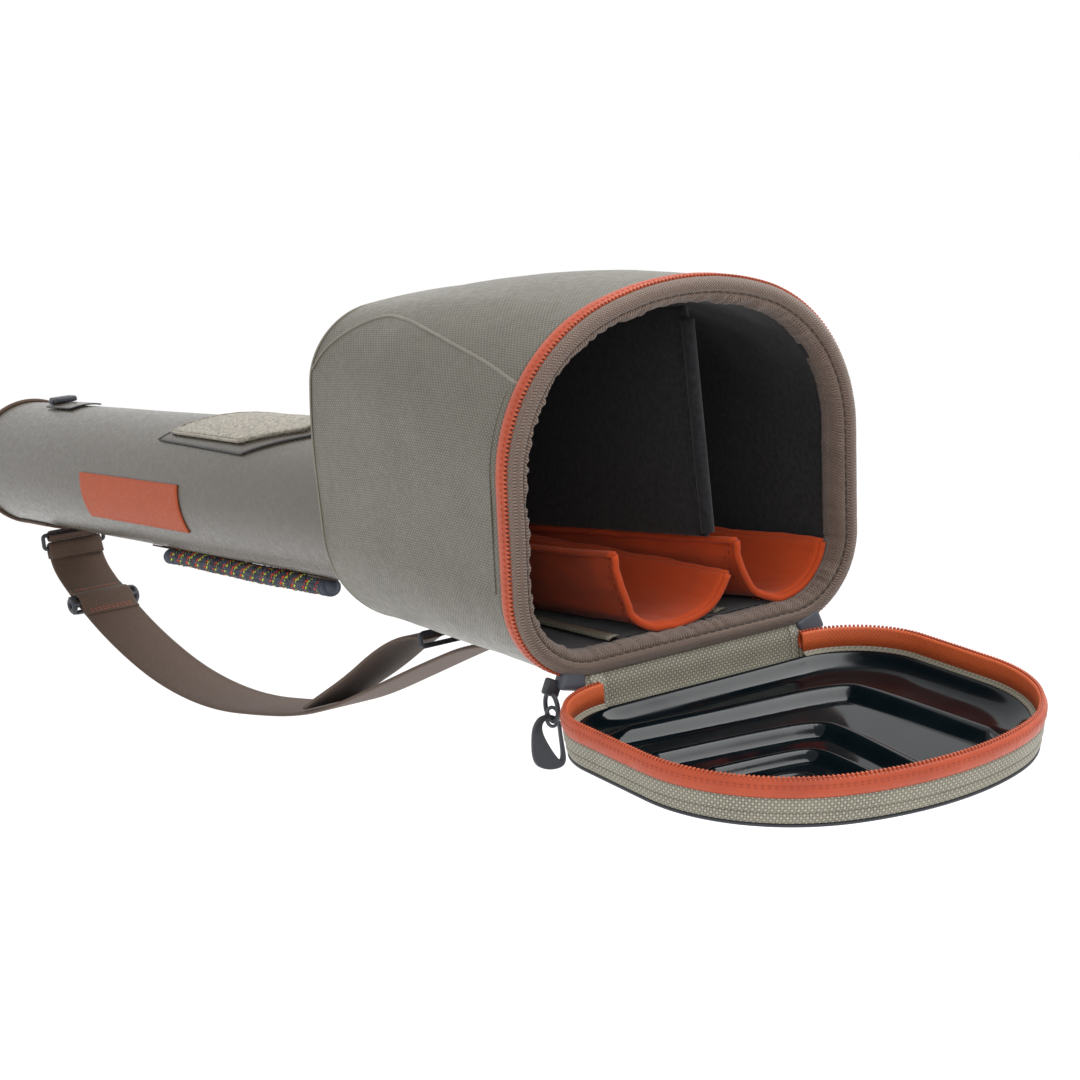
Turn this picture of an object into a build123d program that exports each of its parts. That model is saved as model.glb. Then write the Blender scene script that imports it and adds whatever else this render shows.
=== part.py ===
from build123d import *
import os
from math import cos, pi, radians, sin, sqrt, tan

# Fly-rod and reel case: a round rod tube that opens into a moulded reel box with a zipped drop-down door.
# Frame: origin on the flat underside of the reel box, halfway along it. +X runs along the tube towards the
# door, +Z is up. The door is stored open and the shoulder strap hangs below the tube. Millimetres.

# ---- driving dimensions ----------------------------------------------------------------------------------
BOX_LENGTH = 200.0
X_OPEN = BOX_LENGTH / 2            # bottom line of the opening
X_REAR = -BOX_LENGTH / 2
RAKE = 6.57                        # degrees the opening leans forward at its top
FRONT = dict(width=180.0, height=158.5, low_r=38.0, top_r=72.0, arch_r=127.0)
REAR = dict(width=146.0, height=152.0, low_r=50.0, top_r=42.0, arch_r=200.0)
REAR_EDGE_R = 12.0

COVER_T = 1.6                      # coated outer fabric
SHELL_IN, SHELL_T = 1.9, 3.0       # moulded shell: depth under the outer face, and thickness
LINING_IN, LINING_T = 5.2, 5.0     # padded black lining
ZIP_BACK = 11.0                    # the zip tape and coil lie on the side, this far behind the lip
COIL_BACK = 5.0
LIP_W = 11.0                       # bound lip round the opening, measured inwards

FLAT_T = 0.8                       # the base is pressed flat to this depth

TUBE_R = 41.5
TUBE_Z = 45.0
TUBE_COVER_T = 1.3
LINER_T = 2.0
X_END = -680.0                     # far end of the tube

DROOP = 6.92                       # degrees the open door hangs below level
DOOR = dict(width=180.0, height=154.5, low_r=38.0, top_r=72.0, arch_r=127.0)
DOOR_START = 2.0                   # the door's outline starts this far from the hinge line
TAPE_H = 7.8                       # orange zip band on the door's side
BAND_H = 18.2                      # bottom edge of the grey band
DOOR_DEPTH = 22.5
TRAY_Z = 16.0                      # floor of the glossy inner tray
HINGE_HALF_Y = 54.0

STRAP_W, STRAP_T = 38.0, 2.0
ROPE_D = 10.0
HINGE_AXIS_Z = -1.2

os.makedirs("parts", exist_ok=True)
parts = {}

rake, droop = radians(RAKE), radians(DROOP)
rim_plane = Plane(origin=(X_OPEN, 0, 0), x_dir=(0, 1, 0), z_dir=(cos(rake), 0, -sin(rake)))
hinge_point = (X_OPEN + 1.2, 0, HINGE_AXIS_Z)
door_plane = Plane(origin=hinge_point, x_dir=(0, 1, 0), z_dir=(-sin(droop), 0, -cos(droop)))
print("door closes through", round(90 - RAKE + DROOP, 2), "degrees about", hinge_point)


# ---- outlines --------------------------------------------------------------------------------------------
def d_face(width, height, low_r, top_r, arch_r, inset=0.0, lift=0.0):
    """Flat-bottomed arch: low corners, upright sides, big shoulders and a shallow crown, all tangent."""
    half, low, top, arch = width / 2 - inset, low_r - inset, top_r - inset, arch_r - inset
    crown = height - inset
    crown_centre = crown - arch
    top_z = crown_centre + sqrt((arch - top) ** 2 - (half - top) ** 2)
    reach = sqrt((half - top) ** 2 + (top_z - crown_centre) ** 2)
    join = ((half - top) * arch / reach, crown_centre + (top_z - crown_centre) * arch / reach)
    s = sqrt(0.5)
    shoulder = ((half - top) + top * cos(radians(30)), top_z + top * sin(radians(30)))

    def at(y, z):
        return (y, z + lift)

    right = [
        Line(at(0, inset), at(half - low, inset)),
        ThreePointArc(at(half - low, inset), at(half - low + low * s, inset + low - low * s),
                      at(half, inset + low)),
        Line(at(half, inset + low), at(half, top_z)),
        ThreePointArc(at(half, top_z), at(*shoulder), at(*join)),
    ]
    left = [
        ThreePointArc(at(-join[0], join[1]), at(-shoulder[0], shoulder[1]), at(-half, top_z)),
        Line(at(-half, top_z), at(-half, inset + low)),
        ThreePointArc(at(-half, inset + low), at(-half + low - low * s, inset + low - low * s),
                      at(-half + low, inset)),
        Line(at(-half + low, inset), at(0, inset)),
    ]
    over = ThreePointArc(at(*join), at(0, crown), at(-join[0], join[1]))
    return make_face(Curve() + right + [over] + left)


def box_solid(inset, rear_gap=0.0, rear_edge=0.0):
    """The reel box as one closed form, its skin moved inwards by inset."""
    rear_plane = Plane(origin=(X_REAR, 0, 0), x_dir=(0, 1, 0), z_dir=(1, 0, 0))
    body = loft([rear_plane * d_face(inset=inset, **REAR), rim_plane * d_face(inset=inset, **FRONT)],
                ruled=True)
    if rear_gap:
        body = body & Pos(X_REAR + rear_gap + 200, 0, 80) * Box(400, 300, 300)
    if rear_edge:
        edges = body.faces().sort_by(Axis.X)[0].outer_wire().edges()
        body = fillet(edges, rear_edge)
    return body


def rim_slab(low, high):
    """Everything between two planes parallel to the opening."""
    block = extrude(Plane(origin=(0, 0, low)) * Rectangle(600, 600), high - low)
    return rim_plane * block


def door_ring(out_inset, in_inset, z0, z1, taper=0.0):
    """A band that follows the door's outline, from z0 to z1 below the door's rim plane."""
    outer = extrude(Plane(origin=(0, 0, z0)) * d_face(inset=out_inset, lift=DOOR_START, **DOOR), z1 - z0,
                    taper=taper)
    inner = extrude(Plane(origin=(0, 0, z0 - 1)) * d_face(inset=in_inset, lift=DOOR_START, **DOOR),
                    z1 - z0 + 2, taper=taper)
    return outer - inner


def only_solid(shape):
    """The largest solid of a shape, for cuts that can leave a crumb."""
    return shape.solids().sort_by(SortBy.VOLUME)[-1]


HOLE_END = X_REAR + 16.0           # the tube's hole goes through the rear wall and its padding, and stops
hole_length = HOLE_END - X_END + 20
tube_hole = Pos(HOLE_END - hole_length / 2, 0, TUBE_Z) * Rot(0, 90, 0) * Cylinder(TUBE_R + 0.2, hole_length)

# ---- rod tube --------------------------------------------------------------------------------------------
tube_length = X_REAR + 1.0 - X_END


def tube_ring(outer_r, inner_r, x0, x1):
    ring = Cylinder(outer_r, x1 - x0) - Cylinder(inner_r, x1 - x0 + 2)
    return Pos((x0 + x1) / 2, 0, TUBE_Z) * Rot(0, 90, 0) * ring


liner_r = TUBE_R - TUBE_COVER_T - 0.2
parts["rod_tube_liner"] = tube_ring(liner_r, liner_r - LINER_T, X_END + 8, X_REAR + 10)
parts["tube_cover"] = tube_ring(TUBE_R, TUBE_R - TUBE_COVER_T, X_END + 6, X_REAR - 0.2)
end_disc = Pos(X_END + 3, 0, TUBE_Z) * Rot(0, 90, 0) * Cylinder(TUBE_R, 5.8)
parts["tube_end_cap"] = fillet(end_disc.faces().sort_by(Axis.X)[0].edges(), 3.5)
end_plug = Pos(X_END + 14, 0, TUBE_Z) * Rot(0, 90, 0) * Cylinder(liner_r - LINER_T - 0.2, 8)
parts["tube_end_pad"] = chamfer(end_plug.edges(), 1.0)

# ---- reel box --------------------------------------------------------------------------------------------
outer = box_solid(0, rear_edge=REAR_EDGE_R)
under_cover = box_solid(COVER_T, rear_gap=COVER_T, rear_edge=REAR_EDGE_R - COVER_T)
cover = (outer - under_cover) - tube_hole
cover_back = cover & rim_slab(-400, -ZIP_BACK - 0.3)
SEAM = [(140, 124), (-25, 148.5), (-60, 147), (-84, 138), (-140, 138), (-140, 220), (140, 220)]
top_zone = extrude(Plane.XZ.offset(-150) * make_face(Polyline(*SEAM, close=True)), 300)
base_zone = Pos(0, 0, -20) * Box(400, 96, 50)
rear_zone = Pos(X_REAR - 50 + 3, 0, 80) * Box(100, 400, 400)
parts["box_top_panel"] = only_solid(cover_back & top_zone)
rest = cover_back - top_zone
parts["box_rear_panel"] = only_solid(rest & rear_zone)
rest = rest - rear_zone
base_cloth = rest & base_zone & Pos(0, 0, FLAT_T + 50) * Box(400, 400, 100)
# the flat of the underside lies ahead of the strap's sewn end
flat_plan = Polyline((-11, -33), (88, -47.5), (88, 47.5), (-11, 33), close=True)
parts["box_base_panel"] = only_solid(base_cloth + extrude(make_face(flat_plan), FLAT_T + 0.1))
sides = (rest - base_zone).solids().sort_by(Axis.Y)
parts["box_side_panel_near"] = sides[0]
parts["box_side_panel_far"] = sides[-1]

shell = box_solid(SHELL_IN, rear_gap=SHELL_IN, rear_edge=REAR_EDGE_R - SHELL_IN)
hollow = box_solid(SHELL_IN + SHELL_T, rear_gap=SHELL_IN + SHELL_T, rear_edge=8.0)
parts["reel_box_shell"] = only_solid(((shell - hollow) - tube_hole) & rim_slab(-400, -2.4))
pad = box_solid(LINING_IN, rear_gap=LINING_IN, rear_edge=7.8)
room = box_solid(LINING_IN + LINING_T, rear_gap=LINING_IN + LINING_T, rear_edge=5.0)
parts["box_lining"] = only_solid(((pad - room) - tube_hole) & rim_slab(-400, -2.4))

# the zip runs round three sides and stops at the bottom corners
zip_zone = rim_slab(-ZIP_BACK, 0) - Pos(X_OPEN, 0, -10) * Box(60, 112, 40)
side_ring = box_solid(0) - box_solid(COVER_T)
parts["box_zip_tape"] = only_solid((side_ring & rim_slab(-ZIP_BACK, -COIL_BACK - 0.1)) & zip_zone)
parts["box_zip_coil"] = only_solid(((box_solid(-0.3) - box_solid(COVER_T)) &
                                    rim_slab(-COIL_BACK, -1.6)) & zip_zone)
hem_zone = Pos(X_OPEN, 0, -10) * Box(60, 111, 40)
parts["box_base_hem"] = only_solid((side_ring & rim_slab(-ZIP_BACK, -3.0)) & hem_zone)

lip_face = box_solid(1.0) - box_solid(LIP_W)
lip_inner = box_solid(LINING_IN + LINING_T + 0.1) - box_solid(LIP_W)
parts["opening_binding"] = only_solid((lip_face & rim_slab(-1.5, -0.2)) +
                                      (lip_inner & rim_slab(-9.0, -1.5)))

# ---- inside of the box -----------------------------------------------------------------------------------
inner_x = X_REAR + LINING_IN + LINING_T


def u_profile(plane, centre, floor, half_top, height, radius, wall):
    """An open padded channel: two flared walls on a round floor."""
    flare = (half_top - radius) / max(height - radius, 1)
    knee = radius * 0.9

    def course(i):
        x_top, x_low = half_top - i, knee - i + flare * 2
        low = floor + i
        left = Line((centre - x_top, floor + height), (centre - x_low, floor + radius))
        bowl = ThreePointArc((centre - x_low, floor + radius), (centre, low), (centre + x_low, floor + radius))
        right = Line((centre + x_low, floor + radius), (centre + x_top, floor + height))
        return left, bowl, right

    a, b = course(0), course(wall)
    top = floor + height
    lips = [Line((centre - half_top, top), (centre - half_top + wall, top)),
            Line((centre + half_top, top), (centre + half_top - wall, top))]
    return plane * make_face(Curve() + [*a, *b, *lips])


CRADLES = {"rod_cradle_near": (-8.0, -18.5), "rod_cradle_far": (54.0, 18.5)}
CRADLE_WALL = 4.0
for name, (front_y, rear_y) in CRADLES.items():
    front = Plane(origin=(X_OPEN - 4, 0, 0), x_dir=(0, 1, 0), z_dir=(1, 0, 0))
    rear = Plane(origin=(inner_x + 1, 0, 0), x_dir=(0, 1, 0), z_dir=(1, 0, 0))
    tray_floor = LINING_IN + LINING_T + 1.2
    channel = loft([u_profile(rear, rear_y, tray_floor, 17.0, 30.0, 14.0, CRADLE_WALL),
                    u_profile(front, front_y, tray_floor, 25.0, 34.0, 17.0, CRADLE_WALL)], ruled=True)
    parts[name] = channel & rim_slab(-400, -4.0)

base_plan = Polyline((inner_x + 2, -21), (X_OPEN - 9, -34), (X_OPEN - 9, 50), (inner_x + 2, 21), close=True)
parts["cradle_base"] = Pos(0, 0, LINING_IN + LINING_T + 0.1) * extrude(make_face(base_plan), 0.9)

DIVIDER_FRONT_Y, DIVIDER_REAR_Y, DIVIDER_T = 22.0, 0.0, 5.0
DIVIDER_LOW = 45.0                 # the divider's bottom edge stands just above the cradles
half_t = DIVIDER_T / 2
divider_plan = Polyline((inner_x + 3, DIVIDER_REAR_Y - half_t), (X_OPEN - 14, DIVIDER_FRONT_Y - half_t),
                        (X_OPEN - 14, DIVIDER_FRONT_Y + half_t), (inner_x + 3, DIVIDER_REAR_Y + half_t),
                        close=True)
divider_block = Pos(0, 0, DIVIDER_LOW) * extrude(make_face(divider_plan), 160)
divider_space = box_solid(LINING_IN + LINING_T + 0.8) & rim_slab(-400, -10)
parts["reel_divider"] = only_solid(divider_block & divider_space)

# ---- tube furniture --------------------------------------------------------------------------------------
def on_tube(radius_low, radius_high, x0, x1, angle0, angle1):
    """A patch of tube skin between two radii, from angle0 to angle1 degrees round from the top, +Y first."""
    ring = tube_ring(radius_high, radius_low, x0, x1)
    mid, half = radians((angle0 + angle1) / 2), radians((angle1 - angle0) / 2)
    far = 120.0
    wedge = Polyline((0, 0), (far * sin(mid - half), far * cos(mid - half)),
                     (far * 1.6 * sin(mid), far * 1.6 * cos(mid)),
                     (far * sin(mid + half), far * cos(mid + half)), close=True)
    plane = Plane(origin=(x0 - 1, 0, TUBE_Z), x_dir=(0, 1, 0), z_dir=(1, 0, 0))
    return ring & extrude(plane * make_face(wedge), x1 - x0 + 2)


def cut_corner(shape, points):
    """Trims a tube patch to a plan outline given as X, Y points."""
    return only_solid(shape & (Pos(0, 0, TUBE_Z) * extrude(make_face(Polyline(*points, close=True)), 80)))


backing = on_tube(TUBE_R + 0.05, TUBE_R + 0.85, -385, -190, -50, 50)
parts["patch_backing"] = cut_corner(backing, [(-378, -29), (-262, -32), (-236, -26), (-202, -18), (-202, 18),
                                              (-236, 26), (-262, 32), (-378, 29)])
felt = on_tube(TUBE_R + 0.9, TUBE_R + 3.4, -385, -190, -45, 45)
parts["loop_patch"] = cut_corner(felt, [(-366, -26), (-270, -28), (-212, -15), (-212, 15), (-270, 28),
                                        (-366, 26), (-352, 0)])
parts["label_plate"] = on_tube(TUBE_R + 0.05, TUBE_R + 0.9, -479, -331, -118, -78)
for name, x0, x1 in (("lash_tab_front", -204, -178), ("lash_tab_rear", -604, -560)):
    parts[name] = on_tube(TUBE_R + 0.9, TUBE_R + 2.7, x0, x1, -14, 14)
for name, x0 in (("lash_hook_front", -200), ("lash_hook_rear", -600)):
    hook = Pos(x0, 0, TUBE_Z + TUBE_R + 4.6) * Box(12, 14, 3.4)
    parts[name] = fillet(hook.edges().filter_by(Axis.Z), 2.5)

# ---- rope grab handle under the tube ---------------------------------------------------------------------
tube_low = TUBE_Z - TUBE_R
ROPE_ROUTE = [(-226, -8, -3.4), (-246, -8.5, -4.4), (-280, -9.5, -6.4), (-322, -9, -7.4), (-366, -8, -6.6),
              (-402, -7.5, -4.6), (-424, -8, -3.0)]


def rope_path(points):
    runs = [Vector(*b) - Vector(*a) for a, b in zip(points, points[1:])]
    radii = []
    for a, b in zip(runs, runs[1:]):
        turn = radians(a.get_angle(b))
        radii.append(0.45 * min(a.length, b.length) / tan(turn / 2))
    print("rope radii", [round(r) for r in radii])
    return FilletPolyline(*points, radius=radii)


route = rope_path(ROPE_ROUTE)
start = Plane(origin=route @ 0, z_dir=route % 0)
parts["rope_handle"] = sweep(start * Circle(ROPE_D / 2), path=route)
print("rope length", round(route.length, 1), "volume", round(parts["rope_handle"].volume),
      "expected", round(route.length * pi * ROPE_D ** 2 / 4))
for name, x in (("rope_socket_front", -216.0), ("rope_socket_rear", -434.0)):
    socket = Pos(x, -8, -3.2) * Box(19.6, 14, 9.6)
    socket = fillet(socket.edges().filter_by(Axis.X), 3.5)
    parts[name] = only_solid(socket - tube_hole)

# ---- shoulder strap --------------------------------------------------------------------------------------
STRAP_ROUTE = [(-617, -12), (-616, -22), (-596, -36), (-545, -60), (-480, -79), (-425, -87), (-370, -88.5),
               (-312, -83), (-262, -76.5), (-218, -66), (-163, -47), (-110, -28.5), (-62, -13), (-44, -11.4)]
LAYER_ROUTE = [(-252, -71.0), (-232, -62), (-196, -46.5), (-158, -27), (-126, -15.5), (-106, -14.5)]


def ribbon(points, width, thickness, bend=0.42):
    """Webbing laid along a route in the XZ plane, flat side across Y."""
    line = [(x, 0, z) for x, z in points]
    runs = [Vector(*b) - Vector(*a) for a, b in zip(line, line[1:])]
    turns = [radians(a.get_angle(b)) for a, b in zip(runs, runs[1:])]
    shorter = [min(a.length, b.length) for a, b in zip(runs, runs[1:])]
    radii = [bend * run / tan(turn / 2) for run, turn in zip(shorter, turns)]
    path = FilletPolyline(*line, radius=radii)
    section = Plane(origin=path @ 0, x_dir=(0, 1, 0), z_dir=path % 0) * Rectangle(width, thickness)
    return sweep(section, path=path)


parts["shoulder_strap"] = ribbon(STRAP_ROUTE, STRAP_W, STRAP_T)
parts["strap_return"] = ribbon(LAYER_ROUTE, STRAP_W, STRAP_T)


def bar_ring(x, z, width, height, bar):
    """Rectangular ring of round bar standing in the YZ plane."""
    frame = Rectangle(width, height) - Rectangle(width - 2 * bar, height - 2 * bar)
    plane = Plane(origin=(x - bar / 2, 0, z), x_dir=(0, 1, 0), z_dir=(1, 0, 0))
    ring = extrude(plane * frame, bar)
    return ring


parts["strap_ring_rear"] = bar_ring(-617, -5.6, 46, 12, 2.8)
parts["strap_ring_front"] = bar_ring(-102, -14.5, 46, 9, 2.6)
patch_rear = on_tube(TUBE_R + 0.05, TUBE_R + 2.0, -660, -612, 153, 207)
parts["strap_patch_rear"] = only_solid(patch_rear)
rivet = Pos(-646, 0, tube_low - 2.9) * Cylinder(3.4, 1.6)
parts["strap_rivet"] = fillet(rivet.faces().sort_by(Axis.Z)[0].edges(), 1.0)
parts["strap_patch_front"] = Pos(-93, 0, -1.2) * Box(28, STRAP_W, 2.0)
parts["strap_sewn_end"] = Pos(-28, 0, -1.2) * Box(30, STRAP_W, 2.0)
glide_x, glide_z = -577.0, -45.3
glide = Box(9, 47, 9) - Box(10, STRAP_W + 1.0, STRAP_T + 1.2)
parts["strap_tri_glide"] = Pos(glide_x, 0, glide_z) * Rot(0, 25.2, 0) * glide

# ---- zip slider, pull ring and pull tab ------------------------------------------------------------------
SLIDER = (X_OPEN - 4.0, -65.8, -1.3)
SLIDER_TURN = -28
PULL_HOLE = (SLIDER[0], SLIDER[1] - 7.4, SLIDER[2] - 1.8)
RING_W, RING_H, RING_BAR = 11.0, 14.0, 2.0
slider = Pos(*SLIDER) * Rot(SLIDER_TURN, 0, 0) * Box(10, 12, 4.0)
slider = fillet(slider.edges().filter_by(Axis.X), 1.2)
lug = Pos(PULL_HOLE[0], PULL_HOLE[1] + 2.2, PULL_HOLE[2] + 1.2) * Rot(SLIDER_TURN, 0, 0) * Box(2.4, 9.5, 6.0)
hole = Pos(*PULL_HOLE) * Rot(0, 90, 0) * Cylinder(1.6, 12)
parts["zip_slider"] = only_solid(slider + lug - hole)
ring_face = RectangleRounded(RING_W, RING_H, 4.4)
ring_face -= RectangleRounded(RING_W - 2 * RING_BAR, RING_H - 2 * RING_BAR, 2.6)
ring_z = PULL_HOLE[2] + RING_BAR / 2 - RING_H / 2
ring_origin = (PULL_HOLE[0], PULL_HOLE[1] + RING_BAR / 2, ring_z)
ring_plane = Plane(origin=ring_origin, x_dir=(1, 0, 0), z_dir=(0, -1, 0))
parts["zip_pull_ring"] = extrude(ring_plane * ring_face, RING_BAR)

TAB_T = 2.4
TAB_OUTLINE = [(-4.5, 3.0), (4.0, 3.0), (9.0, -19.0), (-9.0, -21.0)]
TAB_HOLE = [(-2.6, 0.9), (2.6, 0.9), (6.2, -15.5), (-2.6, -3.6)]
tab_top = ring_z - RING_H / 2 + RING_BAR + 0.25
tab_plane = Plane(origin=(PULL_HOLE[0] - TAB_T / 2, PULL_HOLE[1], tab_top), x_dir=(0, 1, 0), z_dir=(1, 0, 0))
tab_face = make_face(Polyline(*TAB_OUTLINE, close=True))
tab_face = fillet(tab_face.vertices(), 3.0)
tab_hole = make_face(Polyline(*TAB_HOLE, close=True))
parts["zip_pull_tab"] = extrude(tab_plane * (tab_face - fillet(tab_hole.vertices(), 0.7)), TAB_T)
ring_bar_z = ring_z - RING_H / 2 + RING_BAR / 2
print("pull ring turns about", PULL_HOLE, "pull tab about", (PULL_HOLE[0], PULL_HOLE[1], ring_bar_z))
for name, y, width in (("zip_end_tab_near", -53.6, 9.0), ("zip_end_tab_far", 59.0, 12.0)):
    tab = Pos(X_OPEN - 2.5, y, -2.6) * Box(4.6, width, 4.4)
    parts[name] = fillet(tab.edges().filter_by(Axis.X), 1.6)

# ---- door ------------------------------------------------------------------------------------------------
hinge_side = Pos(0, 0, 10) * Box(2 * HINGE_HALF_Y + 2, 16, 60)
parts["door_zip_tape"] = door_plane * only_solid(door_ring(0, 1.4, 2.0, TAPE_H) - hinge_side)
parts["door_zip_coil"] = door_plane * only_solid(door_ring(-0.3, 1.8, -0.7, 1.9) - hinge_side)
parts["door_band"] = door_plane * only_solid(door_ring(0, 1.6, TAPE_H + 0.1, BAND_H, taper=9) - hinge_side)
parts["door_wall"] = door_plane * only_solid(door_ring(3.2, 6.0, 3.2, TRAY_Z - 0.1) - hinge_side)
tray = extrude(Plane(origin=(0, 0, TRAY_Z)) * d_face(inset=3.4, lift=DOOR_START, **DOOR), 2.0)
tray += door_ring(18, 23, TRAY_Z - 2.5, TRAY_Z + 0.5)
RIB_CORNERS = [((-62, 60), (6, 72), (-12, 128)), ((-44, 88), (-20, 96), (-28, 126))]
for low, corner, end in RIB_CORNERS:
    for a, b in ((low, corner), (corner, end)):
        run = Vector(*b) - Vector(*a)
        mid = ((a[0] + b[0]) / 2, (a[1] + b[1]) / 2, TRAY_Z - 0.75)
        turn = Vector(1, 0).get_signed_angle(run)
        tray += Pos(*mid) * Rot(0, 0, turn) * Box(run.length + 5, 5, 2.5)
parts["door_tray"] = door_plane * only_solid(tray)
panel = extrude(Plane(origin=(0, 0, BAND_H + 0.1)) * d_face(inset=3.4, lift=DOOR_START, **DOOR),
                DOOR_DEPTH - BAND_H - 0.1)
panel = fillet(panel.faces().sort_by(Axis.Z)[-1].outer_wire().edges(), 3.0)
parts["door_panel"] = door_plane * panel
hinge_web = Pos(0, 1.2, 9.2) * Box(2 * HINGE_HALF_Y, 1.6, 13.2)
parts["door_hinge_panel"] = door_plane * hinge_web

for name, shape in parts.items():
    solids = shape.solids()
    export_step(solids[0] if len(solids) == 1 else Compound(children=list(solids)), f"parts/{name}.step")
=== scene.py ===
"""Looks for the rod case: cloth, zips, trims, webbing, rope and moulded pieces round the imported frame."""
import math

import bmesh
import bpy
from mathutils import Matrix, Vector, noise


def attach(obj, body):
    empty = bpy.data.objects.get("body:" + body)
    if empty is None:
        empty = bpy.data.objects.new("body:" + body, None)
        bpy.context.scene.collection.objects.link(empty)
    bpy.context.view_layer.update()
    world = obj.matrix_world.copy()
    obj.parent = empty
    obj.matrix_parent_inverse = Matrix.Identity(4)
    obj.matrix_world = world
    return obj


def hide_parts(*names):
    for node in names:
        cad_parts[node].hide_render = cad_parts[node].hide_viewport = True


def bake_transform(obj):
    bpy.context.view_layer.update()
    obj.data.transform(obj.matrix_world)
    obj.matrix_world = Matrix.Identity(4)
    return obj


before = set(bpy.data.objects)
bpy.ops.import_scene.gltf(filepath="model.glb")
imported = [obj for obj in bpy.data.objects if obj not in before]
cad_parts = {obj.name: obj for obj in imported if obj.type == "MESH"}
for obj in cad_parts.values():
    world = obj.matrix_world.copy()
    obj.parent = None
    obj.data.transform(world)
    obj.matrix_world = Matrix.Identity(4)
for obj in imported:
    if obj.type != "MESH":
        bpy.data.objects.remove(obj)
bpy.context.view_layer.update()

MM = 0.001
WELD_GAP = 1e-7                    # metres

# ---- driving dimensions, in millimetres ------------------------------------------------------------------
# They are the CAD's, except that the rear outline is fuller, and that the lean and the swell exist only here.
X_OPEN, X_REAR, X_END = 100.0, -100.0, -680.0
BOX_LENGTH = X_OPEN - X_REAR
RAKE = math.radians(6.57)
DROOP = math.radians(6.92)
FRONT = dict(width=180.0, height=158.5, low_r=38.0, top_r=72.0, arch_r=127.0)
REAR = dict(width=146.0, height=156.0, low_r=50.0, top_r=30.0, arch_r=400.0)
DOOR = dict(width=180.0, height=154.5, low_r=38.0, top_r=72.0, arch_r=127.0)
DOOR_START = 2.0
REAR_EDGE = 12.0
REAR_LEAN = 18.0                   # the soft rear top edge leans this far forward
CROWN_SWELL = 4.0                  # the top swells this much between its two ends
TUBE_R, TUBE_Z = 41.5, 45.0
HINGE = Vector((X_OPEN + 1.2, 0, -1.2))
ZIP_BACK = 11.0
TOOTH_PITCH = 1.8
LINING_IN = 10.2
STRAP_W = 38.0
WRAP_END = X_END + 9               # the tube's cloth stops here, where the end cap starts
DOOR_MID_H = 78.0                  # height of the door's middle above the hinge


# ---- materials -------------------------------------------------------------------------------------------
class Shader:
    """A node material under construction, with short calls for the nodes that the materials share."""

    def __init__(self, name, rough=0.5, metal=0.0, **sockets):
        self.mat = bpy.data.materials.new(name)
        self.mat.use_nodes = True
        self.tree = self.mat.node_tree
        self.bsdf = self.tree.nodes["Principled BSDF"]
        self.bsdf.inputs["Roughness"].default_value = rough
        self.bsdf.inputs["Metallic"].default_value = metal
        for socket, value in sockets.items():
            self.bsdf.inputs[socket.replace("_", " ")].default_value = value

    def put(self, value, socket):
        if isinstance(value, (int, float, tuple)):
            socket.default_value = value
        else:
            self.tree.links.new(value, socket)

    def math(self, operation, a, b=0.0):
        n = self.tree.nodes.new("ShaderNodeMath")
        n.operation = operation
        self.put(a, n.inputs[0])
        self.put(b, n.inputs[1])
        return n.outputs[0]

    def mix(self, factor, a, b):
        n = self.tree.nodes.new("ShaderNodeMix")
        n.data_type = "RGBA"
        self.put(factor, n.inputs[0])
        self.put(a, n.inputs[6])
        self.put(b, n.inputs[7])
        return n.outputs[2]

    def between(self, value, low, high, to_low, to_high):
        n = self.tree.nodes.new("ShaderNodeMapRange")
        for i, v in enumerate((value, low, high, to_low, to_high)):
            self.put(v, n.inputs[i])
        return n.outputs[0]

    def noise(self, scale, detail=3.0, source=None):
        n = self.tree.nodes.new("ShaderNodeTexNoise")
        n.inputs["Scale"].default_value = scale
        n.inputs["Detail"].default_value = detail
        self.tree.links.new(source or self.object_place(), n.inputs["Vector"])
        return n.outputs[0]

    def coords(self):
        if not hasattr(self, "_coords"):
            self._coords = self.tree.nodes.new("ShaderNodeTexCoord")
        return self._coords

    def object_place(self):
        return self.coords().outputs["Object"]

    def uv(self):
        """Cloth coordinates, in metres along and across the cloth."""
        if not hasattr(self, "_uv"):
            split = self.tree.nodes.new("ShaderNodeSeparateXYZ")
            self.tree.links.new(self.coords().outputs["UV"], split.inputs[0])
            self._uv = split.outputs[0], split.outputs[1]
        return self._uv

    def place(self, axis_a, axis_b):
        split = self.tree.nodes.new("ShaderNodeSeparateXYZ")
        self.tree.links.new(self.object_place(), split.inputs[0])
        return split.outputs[axis_a], split.outputs[axis_b]

    def colour(self, value):
        self.put(value, self.bsdf.inputs["Base Color"])

    def roughness(self, value):
        self.put(value, self.bsdf.inputs["Roughness"])

    def bump(self, height, strength=0.5, distance=0.3):
        n = self.tree.nodes.new("ShaderNodeBump")
        n.inputs["Strength"].default_value = strength
        n.inputs["Distance"].default_value = distance * MM
        before = getattr(self, "_bump", None)
        self.put(height, n.inputs["Height"])
        if before:
            self.tree.links.new(before, n.inputs["Normal"])
        self._bump = n.outputs[0]
        self.tree.links.new(self._bump, self.bsdf.inputs["Normal"])


def rgb(r, g, b):
    """Colour as seen, 0 to 255, made linear."""
    return tuple((v / 255) ** 2.2 for v in (r, g, b)) + (1.0,)


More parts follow.
